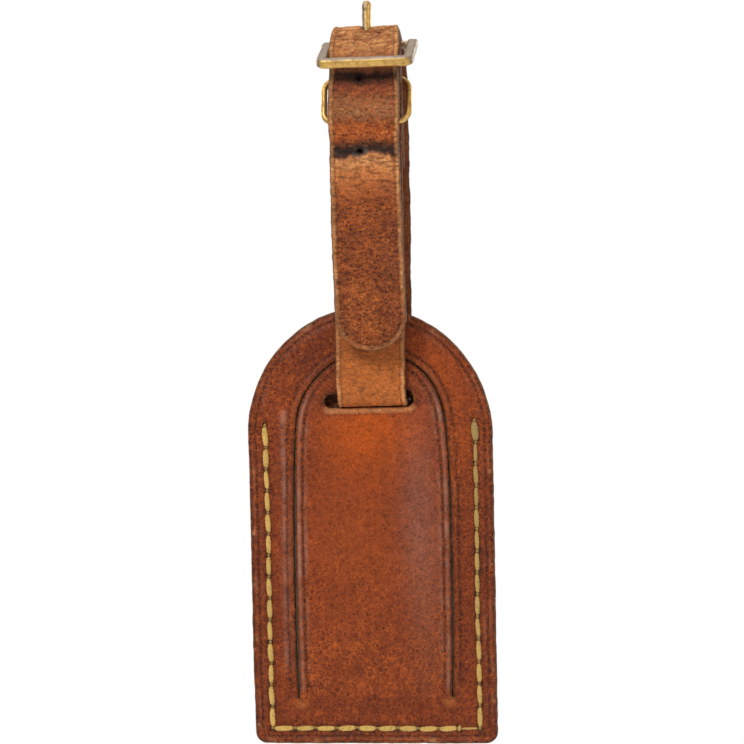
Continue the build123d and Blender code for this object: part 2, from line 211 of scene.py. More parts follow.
def left_normals(line, closed=True):
    """Left-hand normals: inward for an anticlockwise loop."""
    t = tangents(line, closed)
    return np.stack([-t[:, 1], t[:, 0]], 1)


def offset_lines(line, offsets, closed=True):
    normals = left_normals(line, closed)
    return np.vstack([line + normals * o for o in offsets])


def densify(points, step, closed=True):
    p = np.asarray(points, float)
    if closed:
        p = np.vstack([p, p[:1]])
    out = []
    for a, b in zip(p[:-1], p[1:]):
        k = max(1, int(math.ceil(norm(b - a) / step)))
        out += [a + (b - a) * i / k for i in range(k)]
    if not closed:
        out.append(p[-1])
    return np.array(out)


def catmull(points, step):
    """Catmull-Rom curve through open points."""
    p = np.asarray(points, float)
    last = len(p) - 1
    out = []
    for i in range(last):
        p0, p1, p2, p3 = p[max(i - 1, 0)], p[i], p[i + 1], p[min(i + 2, last)]
        k = max(2, int(norm(p2 - p1) / step))
        for j in range(k):
            t = j / k
            out.append(0.5 * ((2 * p1) + (-p0 + p2) * t + (2 * p0 - 5 * p1 + 4 * p2 - p3) * t * t
                              + (-p0 + 3 * p1 - 3 * p2 + p3) * t ** 3))
    out.append(p[-1])
    return np.array(out)


def point_tree(points):
    tree = kdtree.KDTree(len(points))
    for i, (x, y) in enumerate(points):
        tree.insert((x, y, 0), i)
    tree.balance()
    return tree


def line_distance(points, line, closed=True):
    """Distance from each point to a densely sampled line."""
    tree = point_tree(line)
    nearest = np.array([tree.find((x, y, 0))[1] for x, y in points])
    count = len(line)
    best = np.full(len(points), 1e9)
    for ends in ((-1, 0), (0, 1)):
        first, last = ((nearest + e) % count if closed else np.clip(nearest + e, 0, count - 1)
                       for e in ends)
        start, run = line[first], line[last] - line[first]
        t = unit(((points - start) * run).sum(1) / np.maximum((run * run).sum(1), 1e-12))
        best = np.minimum(best, norm(points - start - run * t[:, None], axis=1))
    return best


def inside(points, loop):
    """Which points lie inside a closed loop."""
    x, y = points[:, 0], points[:, 1]
    result = np.zeros(len(points), bool)
    for (x0, y0), (x1, y1) in zip(loop, np.roll(loop, -1, 0)):
        if y0 == y1:
            continue
        result ^= ((y0 > y) != (y1 > y)) & (x < (x1 - x0) * (y - y0) / (y1 - y0) + x0)
    return result


# ------------------------------------------------------------------ meshes
def case_warp(points):
    """The worn case is not true: shoulders a little high and left, foot sagging to the right."""
    x, y, z = points.T
    radius = np.hypot(x, np.maximum(z - ARCH_Z, 0)) / ARCH_R
    height = unit((z - ARCH_Z) / ARCH_R)
    rim = rise(0.72, 0.98, radius)
    x = x - 0.5 * rim * height - 0.65 * rise(75, 15, z) * rise(-12, -FOOT_HALF, x)
    sag = 1.1 * rise(45, 0, z) * unit((x + FOOT_HALF) / (2 * FOOT_HALF))
    z = z + 1.35 * rim * height ** 1.5 - sag - 0.15 * rise(10, 0, z)
    return np.stack([x, y, z], 1)


def make_object(name, verts, faces, material, attrs, normals=None, flat_faces=(), on_case=False):
    """Smooth mesh object from millimetres, with its point attributes."""
    points = case_warp(verts) if on_case else verts
    points = (points + (0.0, 0.0, FOOT_Z)) / 1000.0
    me = bpy.data.meshes.new(name)
    me.from_pydata([tuple(p) for p in points], [], faces)
    me.update()
    me.polygons.foreach_set("use_smooth", np.ones(len(me.polygons), bool))
    for key, value in attrs.items():
        value = np.asarray(value, np.float32)
        if value.ndim == 1:
            kind, field = "FLOAT", "value"
        elif key == "patina":
            kind, field = "FLOAT_COLOR", "color"
            value = np.concatenate([value, np.ones((len(value), 1), np.float32)], 1)
        else:
            kind, field = "FLOAT_VECTOR", "vector"
        me.attributes.new(key, kind, "POINT").data.foreach_set(field, value.ravel())
    if normals is not None:
        corner_verts = np.zeros(len(me.loops), np.int32)
        me.loops.foreach_get("vertex_index", corner_verts)
        corners = normals[corner_verts]
        for f in flat_faces:
            p = me.polygons[f]
            corners[p.loop_start:p.loop_start + p.loop_total] = p.normal
        me.normals_split_custom_set([tuple(n) for n in corners])
    me.materials.append(material)
    ob = bpy.data.objects.new(name, me)
    bpy.context.scene.collection.objects.link(ob)
    return ob


def vertex_normals(verts, faces):
    """Area-weighted normals of a mesh of triangles and quads."""
    total = np.zeros_like(verts)
    by_size = {}
    for f in faces:
        by_size.setdefault(len(f), []).append(f)
    for size, group in by_size.items():
        group = np.array(group)
        a, b, c = (verts[group[:, j]] for j in range(3))
        face_normals = (np.cross(b - a, c - a) if size == 3
                        else np.cross(c - a, verts[group[:, 3]] - b))
        for j in range(size):
            np.add.at(total, group[:, j], face_normals)
    return unit_rows(total)


# ------------------------------------------------------------------ materials
class Nodes:
    """Builds one material's nodes round a Principled shader."""

    def __init__(self, name):
        self.material = bpy.data.materials.new(name)
        self.material.use_nodes = True
        self.tree = self.material.node_tree
        self.tree.nodes.clear()
        self.output = self.tree.nodes.new("ShaderNodeOutputMaterial")
        self.shader = self.tree.nodes.new("ShaderNodeBsdfPrincipled")
        self.fill(self.output, {0: self.shader.outputs[0]})

    def fill(self, node, inputs):
        for key, value in inputs.items():
            if hasattr(value, "is_output"):
                self.tree.links.new(value, node.inputs[key])
            else:
                node.inputs[key].default_value = value

    def node(self, kind, inputs, out=0, **settings):
        node = self.tree.nodes.new("ShaderNode" + kind)
        for key, value in settings.items():
            setattr(node, key, value)
        self.fill(node, inputs)
        return node.outputs[out]

    def surface(self, inputs):
        """Set the Principled shader's inputs and return the material."""
        self.fill(self.shader, inputs)
        return self.material

    def attribute(self, name, out="Fac"):
        return self.node("Attribute", {}, out, attribute_name=name)

    def coords(self):
        return self.node("TexCoord", {}, "Object")

    def math(self, op, a, b=0.0, clamp=False):
        return self.node("Math", {0: a, 1: b}, operation=op, use_clamp=clamp)

    def add(self, a, b, clamp=False):
        return self.math("ADD", a, b, clamp)

    def sub(self, a, b):
        return self.math("SUBTRACT", a, b)

    def mul(self, a, b, clamp=False):
        return self.math("MULTIPLY", a, b, clamp)

    def vector(self, op, a, b):
        return self.node("VectorMath", {0: a, 1: b}, operation=op)

    def scaled(self, a, factor):
        return self.node("VectorMath", {0: a, "Scale": factor}, operation="SCALE")

    def noise(self, at, scale, detail, rough, out="Fac"):
        inputs = {"Vector": at, "Scale": scale, "Detail": detail, "Roughness": rough}
        return self.node("TexNoise", inputs, out)

    def voronoi(self, at, scale, feature="F1"):
        return self.node("TexVoronoi", {"Vector": at, "Scale": scale}, "Distance",
                         feature=feature)

    def ramp(self, value, over, to=(0.0, 1.0), kind="SMOOTHSTEP"):
        """Map the range 'over' on to the range 'to'."""
        inputs = {"Value": value, "From Min": over[0], "From Max": over[1],
                  "To Min": to[0], "To Max": to[1]}
        return self.node("MapRange", inputs, interpolation_type=kind)

    def mix(self, amount, a, b):
        return self.node("Mix", {0: amount, 6: a, 7: b}, 2, data_type="RGBA")

    def bump(self, height, strength, distance):
        return self.node("Bump", {"Height": height, "Strength": strength, "Distance": distance})


FALL = (1.0, 0.0)


def leather(name, crack_scale, crack_amount, crack_color, stretch, gloss, coat, contrast):
    """Vegetable-tanned leather: patina with painted light and shade, crackle, pores, grain and
    worn patches.
    """
    g = Nodes(name)
    place, patina = g.attribute("pc", "Vector"), g.attribute("patina", "Color")
    wear, crack_mask = g.attribute("wear"), g.attribute("crack")
    shift = g.vector("SUBTRACT", g.noise(place, scale=0.8, detail=3, rough=0.65, out="Color"),
                     (0.5, 0.5, 0.5))
    bent = g.vector("ADD", place, g.scaled(shift, 2.2))
    grain = g.vector("MULTIPLY", bent, stretch)

    def crackle(scale, width):
        edge = g.voronoi(grain, scale=scale, feature="DISTANCE_TO_EDGE")
        return g.ramp(edge, over=(0.01, width), to=FALL)

    # crackle at two sizes, broken into patches
    coarse, dense = crackle(crack_scale, 0.11), crackle(crack_scale * 1.9, 0.13)
    patch = g.ramp(g.noise(place, scale=0.13, detail=4, rough=0.65), over=(0.40, 0.62))
    small_patch = g.ramp(g.noise(place, scale=0.55, detail=4, rough=0.7), over=(0.42, 0.62))
    fleck = g.ramp(g.noise(grain, scale=1.4, detail=3, rough=0.6), over=(0.44, 0.58))
    net = g.math("MAXIMUM", coarse, g.mul(dense, 0.8))
    net = g.mul(net, g.add(0.50, g.mul(small_patch, 0.45)))
    net = g.mul(net, g.add(0.55, g.mul(fleck, 0.45)))
    cracks = g.mul(net, g.mul(g.add(0.70, g.mul(patch, 0.30)), crack_mask), clamp=True)
    # tone, from broad to fine
    broad = g.noise(place, scale=0.07, detail=4, rough=0.6)
    mid = g.noise(place, scale=0.45, detail=5, rough=0.65)
    small = g.noise(grain, scale=1.35, detail=4, rough=0.7)
    fine = g.noise(grain, scale=3.0, detail=2, rough=0.6)
    tone = g.add(g.mul(small, 0.90), g.mul(fine, 0.90))
    tone = g.add(g.mul(broad, 0.40), g.add(g.mul(mid, 0.55), tone))
    tone = g.ramp(tone, over=(1.095, 1.655), kind="LINEAR",
                  to=(0.98 - 0.50 * contrast, 0.98 + 0.55 * contrast))
    color = g.scaled(patina, tone)
    # dark little cells between the cracks
    cell = g.ramp(g.noise(grain, scale=1.9, detail=3, rough=0.6), over=(0.40, 0.52), to=FALL)
    color = g.mix(g.mul(cell, 0.55 * contrast), color, g.scaled(color, 0.45))
    # pores, then the cracks
    pores = g.ramp(g.voronoi(place, scale=1.35), over=(0.08, 0.30), to=FALL)
    speck = g.mul(pores, g.ramp(g.noise(place, scale=0.7, detail=2, rough=0.5),
                                over=(0.45, 0.6)))
    color = g.mix(g.mul(speck, 0.6), color, rgba(54, 22, 13))
    color = g.mix(g.mul(cracks, crack_amount), color, rgba(*crack_color))
    # worn nap: pale mottling with dark flecks
    nap = g.ramp(g.noise(grain, scale=1.25, detail=5, rough=0.75), over=(0.44, 0.64))
    color = g.mix(g.mul(g.mul(nap, wear), 0.55), color, rgba(214, 160, 108))
    dark_nap = g.ramp(g.noise(grain, scale=1.7, detail=4, rough=0.7), over=(0.5, 0.62))
    color = g.mix(g.mul(g.mul(dark_nap, wear), 0.6), color, rgba(98, 46, 22))
    rough = g.add(g.mul(wear, 0.28), g.mul(cracks, 0.2))
    rough = g.add(g.ramp(mid, over=(0.3, 0.7), to=(gloss - 0.08, gloss + 0.14)), rough,
                  clamp=True)
    height = g.sub(g.mul(small, 0.6), g.mul(net, g.add(0.25, g.mul(crack_mask, 0.6))))
    height = g.sub(height, g.mul(speck, 0.6))
    height = g.add(height, g.mul(g.noise(grain, scale=5.0, detail=3, rough=0.7), 0.35))
    return g.surface({"Base Color": color, "Roughness": rough,
                      "Normal": g.bump(height, strength=0.75, distance=0.00016),
                      "Coat Weight": coat, "Coat Roughness": 0.3, "Specular IOR Level": 0.17})


def waxed_thread():
    g = Nodes("waxed_thread")
    place, dullness = g.attribute("pc", "Vector"), g.attribute("wear")
    along = g.vector("MULTIPLY", place, (1.0, 7.0, 7.0))
    fibre = g.noise(along, scale=2.2, detail=4, rough=0.7)
    color = g.mix(fibre, rgba(176, 126, 42), rgba(255, 216, 116))
    dirt = g.ramp(g.noise(place, scale=0.45, detail=3, rough=0.6), over=(0.45, 0.75))
    color = g.mix(g.mul(dirt, 0.45), color, rgba(112, 84, 40))
    color = g.mix(dullness, color, rgba(118, 102, 58))
    return g.surface({"Base Color": color, "Roughness": 0.62, "Sheen Weight": 0.2,
                      "Normal": g.bump(fibre, strength=0.5, distance=0.00005)})


def aged_brass():
    """Gold-washed brass, grey where 'wear' is high and tarnished in patches; the grey is
    worn-through metal on the keeper and a painted reflection of the pale surroundings on the
    buckle frame and prong.
    """
    g = Nodes("aged_brass")
    place, wear = g.attribute("pc", "Vector"), g.attribute("wear")
    broad = g.noise(place, scale=0.45, detail=5, rough=0.65)
    fine = g.noise(place, scale=1.9, detail=5, rough=0.7)
    tarnish = g.ramp(g.add(g.mul(broad, 0.6), g.mul(fine, 0.4)), over=(0.44, 0.62))
    along = g.vector("MULTIPLY", place, (0.5, 5.0, 5.0))
    scratch = g.ramp(g.noise(along, scale=1.5, detail=3, rough=0.6), over=(0.5, 0.62))
    bare = g.ramp(g.add(wear, g.mul(g.sub(fine, 0.5), 1.1)), over=(0.38, 0.68))
    color = g.mix(fine, rgba(214, 160, 74), rgba(250, 212, 132))
    color = g.mix(bare, color, rgba(176, 160, 142))
    color = g.mix(g.mul(tarnish, 0.45), color, rgba(122, 88, 56))
    color = g.mix(g.mul(scratch, 0.25), color, rgba(140, 104, 62))
    rough = g.add(0.30, g.add(g.mul(tarnish, 0.22), g.mul(fine, 0.16)))
    height = g.add(g.mul(fine, 0.7), g.mul(scratch, 0.3))
    return g.surface({"Base Color": color, "Metallic": 0.92, "Roughness": rough,
                      "Normal": g.bump(height, strength=0.4, distance=0.0001)})


def card_stock():
    """Pale card with ruled lines 9 mm apart."""
    g = Nodes("card_stock")
    place = g.scaled(g.coords(), 1000.0)
    pulp = g.noise(place, scale=2.2, detail=5, rough=0.7)
    color = g.mix(pulp, rgba(214, 200, 168), rgba(238, 229, 205))
    height = g.node("SeparateXYZ", {0: place}, 2)
    phase = g.math("FRACT", g.math("DIVIDE", height, 9.0))
    rule = g.ramp(g.math("ABSOLUTE", g.sub(phase, 0.5)), over=(0.012, 0.02), to=FALL)
    color = g.mix(g.mul(rule, 0.5), color, rgba(120, 116, 108))
    return g.surface({"Base Color": color, "Roughness": 0.85,
                      "Normal": g.bump(pulp, strength=0.3, distance=0.00005)})


def pale_floor():
    """Pale floor that fades out towards its edge."""
    g = Nodes("floor_pale")
    place = g.coords()
    shade = g.noise(place, scale=6.0, detail=3, rough=0.5)
    color = g.mix(shade, (0.90, 0.90, 0.89, 1), (0.93, 0.93, 0.92, 1))
    split = g.tree.nodes.new("ShaderNodeSeparateXYZ")
    g.fill(split, {0: place})
    x, y = split.outputs[0], split.outputs[1]
    radius = g.math("SQRT", g.add(g.mul(x, x), g.mul(y, y)))
    fade = g.ramp(radius, over=(0.35, 0.92), to=FALL)
    clear = g.node("BsdfTransparent", {})
    mixed = g.node("MixShader", {0: fade, 1: clear, 2: g.shader.outputs[0]})
    g.fill(g.output, {0: mixed})
    return g.surface({"Base Color": color, "Roughness": 0.8, "Specular IOR Level": 0.1})


CASE_LEATHER = leather("case_leather", crack_scale=0.66, crack_amount=0.90,
                       crack_color=(208, 102, 38), stretch=(1, 1, 1), gloss=0.42, coat=0.03,
                       contrast=1.0)
STRAP_LEATHER = leather("strap_leather", crack_scale=0.72, crack_amount=0.95,
                        crack_color=(228, 126, 60), stretch=(0.6, 1.35, 1.0), gloss=0.52,
                        coat=0.0, contrast=1.1)
THREAD = waxed_thread()
BRASS = aged_brass()
CARD = card_stock()


# ------------------------------------------------------------------ case outlines
def arch_loop(inset, step=0.5):
    """Outline of the case, inset, anticlockwise seen from the front."""
    foot, arch = FOOT_HALF - inset, ARCH_R - inset
    corner = max(CORNER_R - inset, 0.4)

    def side(z):
        return foot + (arch - foot) * (z - inset) / (ARCH_Z - inset)

    quarter = math.pi / 2
    points = [(-foot + corner, inset), (foot - corner, inset)]
    points += [(foot - corner + corner * math.sin(a), inset + corner - corner * math.cos(a))
               for a in np.linspace(0, quarter, 9)[1:]]
    points += [(side(z), z) for z in np.linspace(inset + corner, ARCH_Z, 30)[1:]]
    points += [(arch * math.cos(a), ARCH_Z + arch * math.sin(a))
               for a in np.linspace(0, math.pi, 150)[1:]]
    points += [(-side(z), z) for z in np.linspace(ARCH_Z, inset + corner, 30)[1:]]
    points += [(-foot + corner - corner * math.sin(a), inset + corner - corner * math.cos(a))
               for a in np.linspace(quarter, 0, 9)[1:-1]]
    p = densify(points, step)
    # hand-cut: the outline wanders by a tenth of a millimetre
    x, z = p.T
    wander = (0.10 * fbm(x, z, size=9.0, seed=5, octaves=3)
              + 0.05 * noise(x, z, size=1.7, seed=8))
    return p + left_normals(p) * (np.clip(wander, -0.2, 0.2) + 0.06)[:, None]


# middle of the arched cut, from the foot of its left leg to that of its right leg: x, z
CUT_POINTS = [
    (-19.85, 12.0), (-20.0, 31), (-20.05, 46.8), (-19.9, 62), (-19.5, 76), (-18.7, 84.6),
    (-17.2, 88.9), (-15.4, 92.0), (-13.4, 94.3), (-10.9, 96.6), (-7.9, 98.4), (-4.2, 99.6),
    (0.2, 100.1), (4.6, 99.8), (8.8, 98.7), (12.5, 96.6), (15.6, 93.4), (17.8, 89.4),
    (19.2, 84.6), (20.0, 76), (20.3, 66), (20.35, 57), (20.15, 31.3), (19.6, 12.0)]
CUT_LINE = catmull(CUT_POINTS, 0.3)


def cut_loop():
    """Outline of the arched cut with its rims, as one clockwise loop."""
    line = CUT_LINE
    normals = left_normals(line, closed=False)
    k = np.linspace(0, 1, len(line))
    half = 0.27 - 0.15 * rise(0.2, 0.45, k) + 0.05 * rise(0.6, 0.8, k)
    half = half + 0.04 * fbm(line[:, 0], line[:, 1], size=5, seed=3, octaves=3)
    half = half * rise(0.0, 0.02, k) * rise(0.0, 0.02, 1 - k) * 0.35 + half * 0.65
    half = np.clip(half, 0.09, 0.3) + CUT_RIM
    outer = line + normals * half[:, None]
    inner = line - normals * half[:, None]

    def cap(center, r):
        return [(center[0] + r * math.cos(a), center[1] + r * math.sin(a))
                for a in np.linspace(0.0, -math.pi, 7)[1:-1]]

    return np.vstack([outer, cap(line[-1], half[-1]), inner[::-1], cap(line[0], half[0])])


def slot_loop(front, grow, step=0.3):
    """Round-ended strap slot, anticlockwise.

    The front one is stretched upwards at its right end, the back one cut closer to the strap.
    """
    half, low, lift, shift = ((11.5, SLOT_LOW, 0.9, 0.0) if front
                              else (9.35, SLOT_LOW + 0.22, 0.0, 1.35))
    r, middle = (SLOT_TOP - low) / 2, (SLOT_TOP + low) / 2
    points = []
    for end, end_lift, first, last in ((1, lift, -math.pi / 2, math.pi / 2),
                                       (-1, 0.0, math.pi / 2, 3 * math.pi / 2)):
        points += [(end * (half - r) + (r + grow) * math.cos(a),
                    middle + (r + grow) * math.sin(a) + end_lift * max(0.0, math.sin(a)))
                   for a in np.linspace(first, last, 13)]
    p = densify(points, step)
    wobble = 0.05 * noise(p[:, 0], p[:, 1], size=1.3, seed=17)
    return p + left_normals(p) * wobble[:, None] + (shift, 0.0)


def seam_holes():
    """Hole centres down the left side, along the foot and up the right side."""
    def side(sign, steps):
        return [(sign * (SEAM_TOP_HALF - SEAM_LEAN * f),
                 SEAM_TOP_Z - (SEAM_TOP_Z - SEAM_FOOT_Z) * f)
                for f in (k / SIDE_STITCHES for k in steps)]

    foot = [(-SEAM_FOOT_HALF + 2 * SEAM_FOOT_HALF * k / FOOT_STITCHES, SEAM_FOOT_Z)
            for k in range(1, FOOT_STITCHES)]
    holes = np.array(side(-1, range(SIDE_STITCHES + 1)) + foot
                     + side(1, range(SIDE_STITCHES, -1, -1)))
    return holes + np.random.default_rng(11).normal(0, 0.10, holes.shape)


HOLES = seam_holes()
SEAM_LINE = densify(HOLES, 0.2, closed=False)
CASE_EDGE = arch_loop(0.0, 0.25)


# ------------------------------------------------------------------ case relief and colour
def case_masks(points, front):
    """Distances from the case's features, and masks made from them."""
    x, z = points.T
    seed = 0 if front else 40
    m = SimpleNamespace()
    m.edge = line_distance(points, CASE_EDGE)
    m.seam = line_distance(points, SEAM_LINE, closed=False)
    m.hole = np.hypot(x[:, None] - HOLES[:, 0], z[:, None] - HOLES[:, 1]).min(1)
    m.slot = line_distance(points, slot_loop(front, 0.0, 0.15))
    m.crease = m.edge - (1.95 + 0.12 * noise(x, z, size=8.0, seed=27 + seed))
    if front:
        m.cut = line_distance(points, CUT_LINE, closed=False)
        m.tongue = inside(points, CUT_LINE)
        m.fade = rise(11.0, 15.0, z)
        m.band = m.cut - (2.05 + 0.15 * noise(x, z, size=6.0, seed=29))
    return m


def case_height(points, front):
    """Height of the leather above its nominal face."""
    x, z = points.T
    seed = 0 if front else 40
    m = case_masks(points, front)
    h = (0.11 * fbm(x, z, size=17.0, seed=21 + seed, octaves=3)
         + 0.05 * fbm(x, z, size=4.0, seed=23 + seed, octaves=3)
         + 0.02 * noise(x, z, size=1.1, seed=25 + seed))
    # creased border line and rounded edge
    h = h - 0.30 * bell(m.crease, 0.30) - 0.26 * (1 - rise(0.0, 1.7, m.edge))
    h = h + 0.10 * bell(m.crease - 0.9, 0.5)
    # stitch channel, holes and slot
    h = h - 0.10 * bell(m.seam, 0.9) * (z < 83.5) - 0.50 * bell(m.hole, 0.56)
    h = h - 0.16 * bell(m.slot, 0.9)
    if front:
        # creases and swelling along the cut, and the raised tongue
        outer = m.cut - 3.3 - 0.2 * noise(x, z, size=6.0, seed=30)
        h = h - 0.30 * bell(m.band, 0.34) * m.fade
        h = h + 0.16 * bell(m.cut - 1.1, 0.62) * m.fade
        h = h - 0.16 * bell(m.cut, 0.45) * m.fade
        h = h - 0.16 * bell(outer, 0.3) * m.fade * ~m.tongue * rise(30, 50, z)
        h = h + 0.16 * m.tongue * rise(13, 30, z) * (1 - rise(76, 85, z))
    return h


def front_colors_and_painted_light(x, z, m, broad, mid, fine, patchy):
    """Colour layers of the front panel and tongue, among them painted sheen, highlights and
    shade, with wear and crackle.
    """
    tongue, panel = m.tongue, ~m.tongue
    below = z < SLOT_LOW
    # painted sheen down the tongue's right side
    painted_sheen_right = spot(x, z, (12.5, 56), (5.0, 24.0)) * tongue
    # painted sheen along the cut, and a painted highlight line along the tongue's ridge
    sheen = bell(m.cut - 1.15, 0.42) * rise(12, 16, z)
    line = bell(m.cut - 2.8, 0.30) * rise(14, 20, z) * rise(92, 80, z)
    cut_ends = (spot(x, z, (-19.2, 10.4), (1.2, 1.2)) + spot(x, z, (19.0, 10.6), (1.2, 1.2)))
    slot_span = rise(12.6, 10.8, np.abs(x) + 0.5 * fine)
    lip = rise(1.75, 1.0, m.slot + 0.25 * fine) * (z < SLOT_LOW + 0.4) * slot_span
    layers = [
        # warm patches under the slot
        ((150, 66, 24), spot(x, z, (-3, 60), (17.0, 27.0)) * tongue * 0.7),
        ((186, 80, 14),
         unit(spot(x, z, (0.5, 79.5), (12.5, 9.5)) * tongue * (0.95 + 0.3 * mid))),
        # darker, redder head of the tongue round the slot, painted shadow of the strap; darker,
        # redder shoulders
        ((112, 46, 24), tongue * rise(84.5, 89.0, z) * 0.75),
        ((104, 42, 26), tongue * rise(11, 17, np.abs(x)) * rise(60, 80, z) * 0.6),
        # painted cool sheen (highlight) down its right side, dark foot
        ((146, 92, 76), painted_sheen_right * (0.68 + 0.25 * fine)),
        ((132, 84, 66), spot(x, z, (13.5, 30), (3.6, 18.0)) * tongue * 0.5),
        ((108, 46, 24), tongue * rise(50, 22, z) * 0.45),
        # panel round the tongue: dark, warm patches on the right, and a pale band on the left
        # that is a painted sheen
        ((98, 40, 21), panel * unit(0.42 + 0.3 * broad)),
        ((156, 66, 18), spot(x, z, (17, 95), (9.0, 9.0)) * panel * 0.9),
        ((140, 62, 24), spot(x, z, (25, 76), (6.0, 15.0)) * panel * 0.55),
        ((156, 118, 104), panel * bell(x + 22.3, 0.75) * rise(16, 22, z) * (z < 86)
         * patchy(0.70, 0.5, 0.4, 0.95)),
        # creases beside the cut, dark partly from painted shade in their grooves, the painted
        # sheen beside them, and painted shade in the cut itself
        ((48, 19, 14), bell(m.band, 0.42) * m.fade * 0.9),
        ((164, 126, 110), sheen * tongue * patchy(0.65, 0.7, 0.4, 0.92) * rise(94, 84, z)),
        ((146, 84, 56), sheen * panel * patchy(0.25, 0.8, 0.4, 0.7)),
        ((158, 116, 98), line * tongue * patchy(0.5, 0.7, 0.5, 0.9)),
        ((26, 11, 10), unit(bell(m.cut, 0.50) * 1.1) * 0.96),
        ((196, 116, 56), unit(cut_ends * (0.7 + 1.2 * fine)) * 0.8),
        # rubbed lower lip of the slot, dark line under it, and painted shade along its top and at
        # its ends
        ((192, 122, 74), lip * 0.92),
        ((78, 36, 20),
         bell(m.slot - 1.95, 0.25) * below * rise(12.6, 10.8, np.abs(x)) * 0.6),
        ((50, 20, 14), bell(m.slot, 1.5) * (z > SLOT_TOP - 0.4) * 0.8),
        ((64, 26, 17), spot(np.abs(x), z, (12.0, 88.0), (1.4, 2.2)) * 0.75),
        # dark left shoulder, and a tiny green stain by the slot
        ((84, 34, 22), spot(x, z, (-17, 101), (9.0, 7.0)) * panel * 0.6),
        ((66, 92, 62), spot(x, z, (14.2, 91.0), (0.55, 0.3)) * 0.8)]
    crack = (0.85 + 0.5 * spot(x, z, (-23, 84), (7, 12)) + 0.5 * spot(x, z, (24, 78), (6, 12))
             - 0.55 * spot(x, z, (0, 70), (11, 13)) + 0.35 * tongue * rise(46, 22, z)
             - 0.3 * painted_sheen_right)
    return layers, lip * 0.75, crack


def case_color(points, m, front):
    """Patina of the case with painted highlights and shade among its layers, and its wear and
    crackle masks.
    """
    x, z = points.T
    broad = fbm(x, z, size=14.0, seed=61, octaves=4)
    mid = fbm(x, z, size=5.0, seed=62, octaves=4)
    fine = fbm(x, z, size=1.6, seed=63, octaves=3)

    def patchy(level, mid_gain, fine_gain, most):
        """Uneven amount, from 0 to most."""
        return np.clip(level + mid_gain * mid + fine_gain * fine, 0, most)

    layers = [((136, 56, 24), unit(0.35 + 0.9 * broad) * 0.6),
              ((86, 34, 20),
               unit(-0.05 - 1.2 * mid + (0.25 * (z < 20) if front or True else 0)) * 0.6)][:1]
    layers.append(((86, 34, 20), unit(-0.05 - 1.2 * mid + 0.25 * (z < 20)) * 0.6))
    if front:
        side_layers, wear, crack = front_colors_and_painted_light(x, z, m, broad, mid, fine, patchy)
    else:
        side_layers = [((152, 78, 38), spot(x, z, (2, 45), (20.0, 34.0)) * 0.5),
                       ((84, 38, 24), bell(m.slot, 1.2) * 0.7)]
        wear, crack = np.zeros(len(x)), np.full(len(x), 0.85)
    scuff = rise(0.35, 0.75, fine + 0.5 * mid) * bell(m.edge - 0.7, 0.45)
    layers += side_layers + [
        # border outside the seam, crease line dark partly from painted shade in its groove, pale
        # crests partly painted highlight and partly rubbing, burnished edge and its scuffs
        ((92, 38, 24), rise(4.6, 3.0, m.edge) * unit(0.55 + mid) * 0.35),
        ((54, 23, 18), bell(m.crease, 0.38) * 0.95),
        ((150, 100, 80), bell(m.edge - 2.75, 0.3) * patchy(0.15, 0.9, 0.6, 0.7)),
        ((146, 92, 66), bell(m.edge - 1.25, 0.35) * patchy(0.30, 0.8, 0.6, 0.8)),
        ((38, 18, 15), rise(1.25, 0.35, m.edge) * 0.92),
        ((190, 130, 84), scuff * 0.8),
        # darker stitch channel, and painted shade in the stitch holes
        ((76, 30, 18), bell(m.seam, 1.1) * 0.5 * (z < 83.5)),
        ((12, 6, 6), unit(bell(m.hole, 0.95) * 1.35) * 0.98)]
    wear = np.maximum(wear, scuff * 0.4)
    return lay((116, 46, 21), layers), unit(wear), np.clip(crack, 0, 1.4)


def sheet_attrs(verts, front, face_count):
    """Attributes of a sheet; the first face_count vertices are its good face."""
    x, z = verts[:, 0], verts[:, 2]
    points = verts[:, [0, 2]]
    m = case_masks(points, front)
    color, wear, crack = case_color(points, m, front)
    # cut edges and inner side; the dark walls inside the slot and the cut are painted shade
    cut = np.where((m.edge < 0.9)[:, None], linear((46, 24, 18)), linear((104, 58, 34)))
    mottle = unit(0.5 + 0.9 * fbm(x, z, size=2.5, seed=77, octaves=3))
    cut = over(cut, (120, 78, 50), mottle * 0.45)
    if front:
        near_slot = (m.slot < 1.2)[:, None]
        near_cut = (m.cut < 1.3)[:, None]
        slot_lip_and_shade = over((150, 92, 54), (16, 8, 7), rise(86.4, 87.1, z))
        cut = np.where(near_slot, slot_lip_and_shade, cut)
        cut = np.where(near_cut & ~near_slot,
                       over((22, 10, 9), (58, 30, 20), mottle * 0.4), cut)
    else:
        # painted shade on the back panel's inner face round its slot
        dark = rise(1.0, 0.75, np.hypot(x / 19.0, (z - 88) / 7.0)) * (m.edge > 4)
        cut = over(cut, (9, 5, 5), dark * 0.98)
    color[face_count:] = cut[face_count:]
    wear[face_count:] = 0.35
    return {"patina": color, "wear": wear, "crack": crack, "pc": verts.copy()}


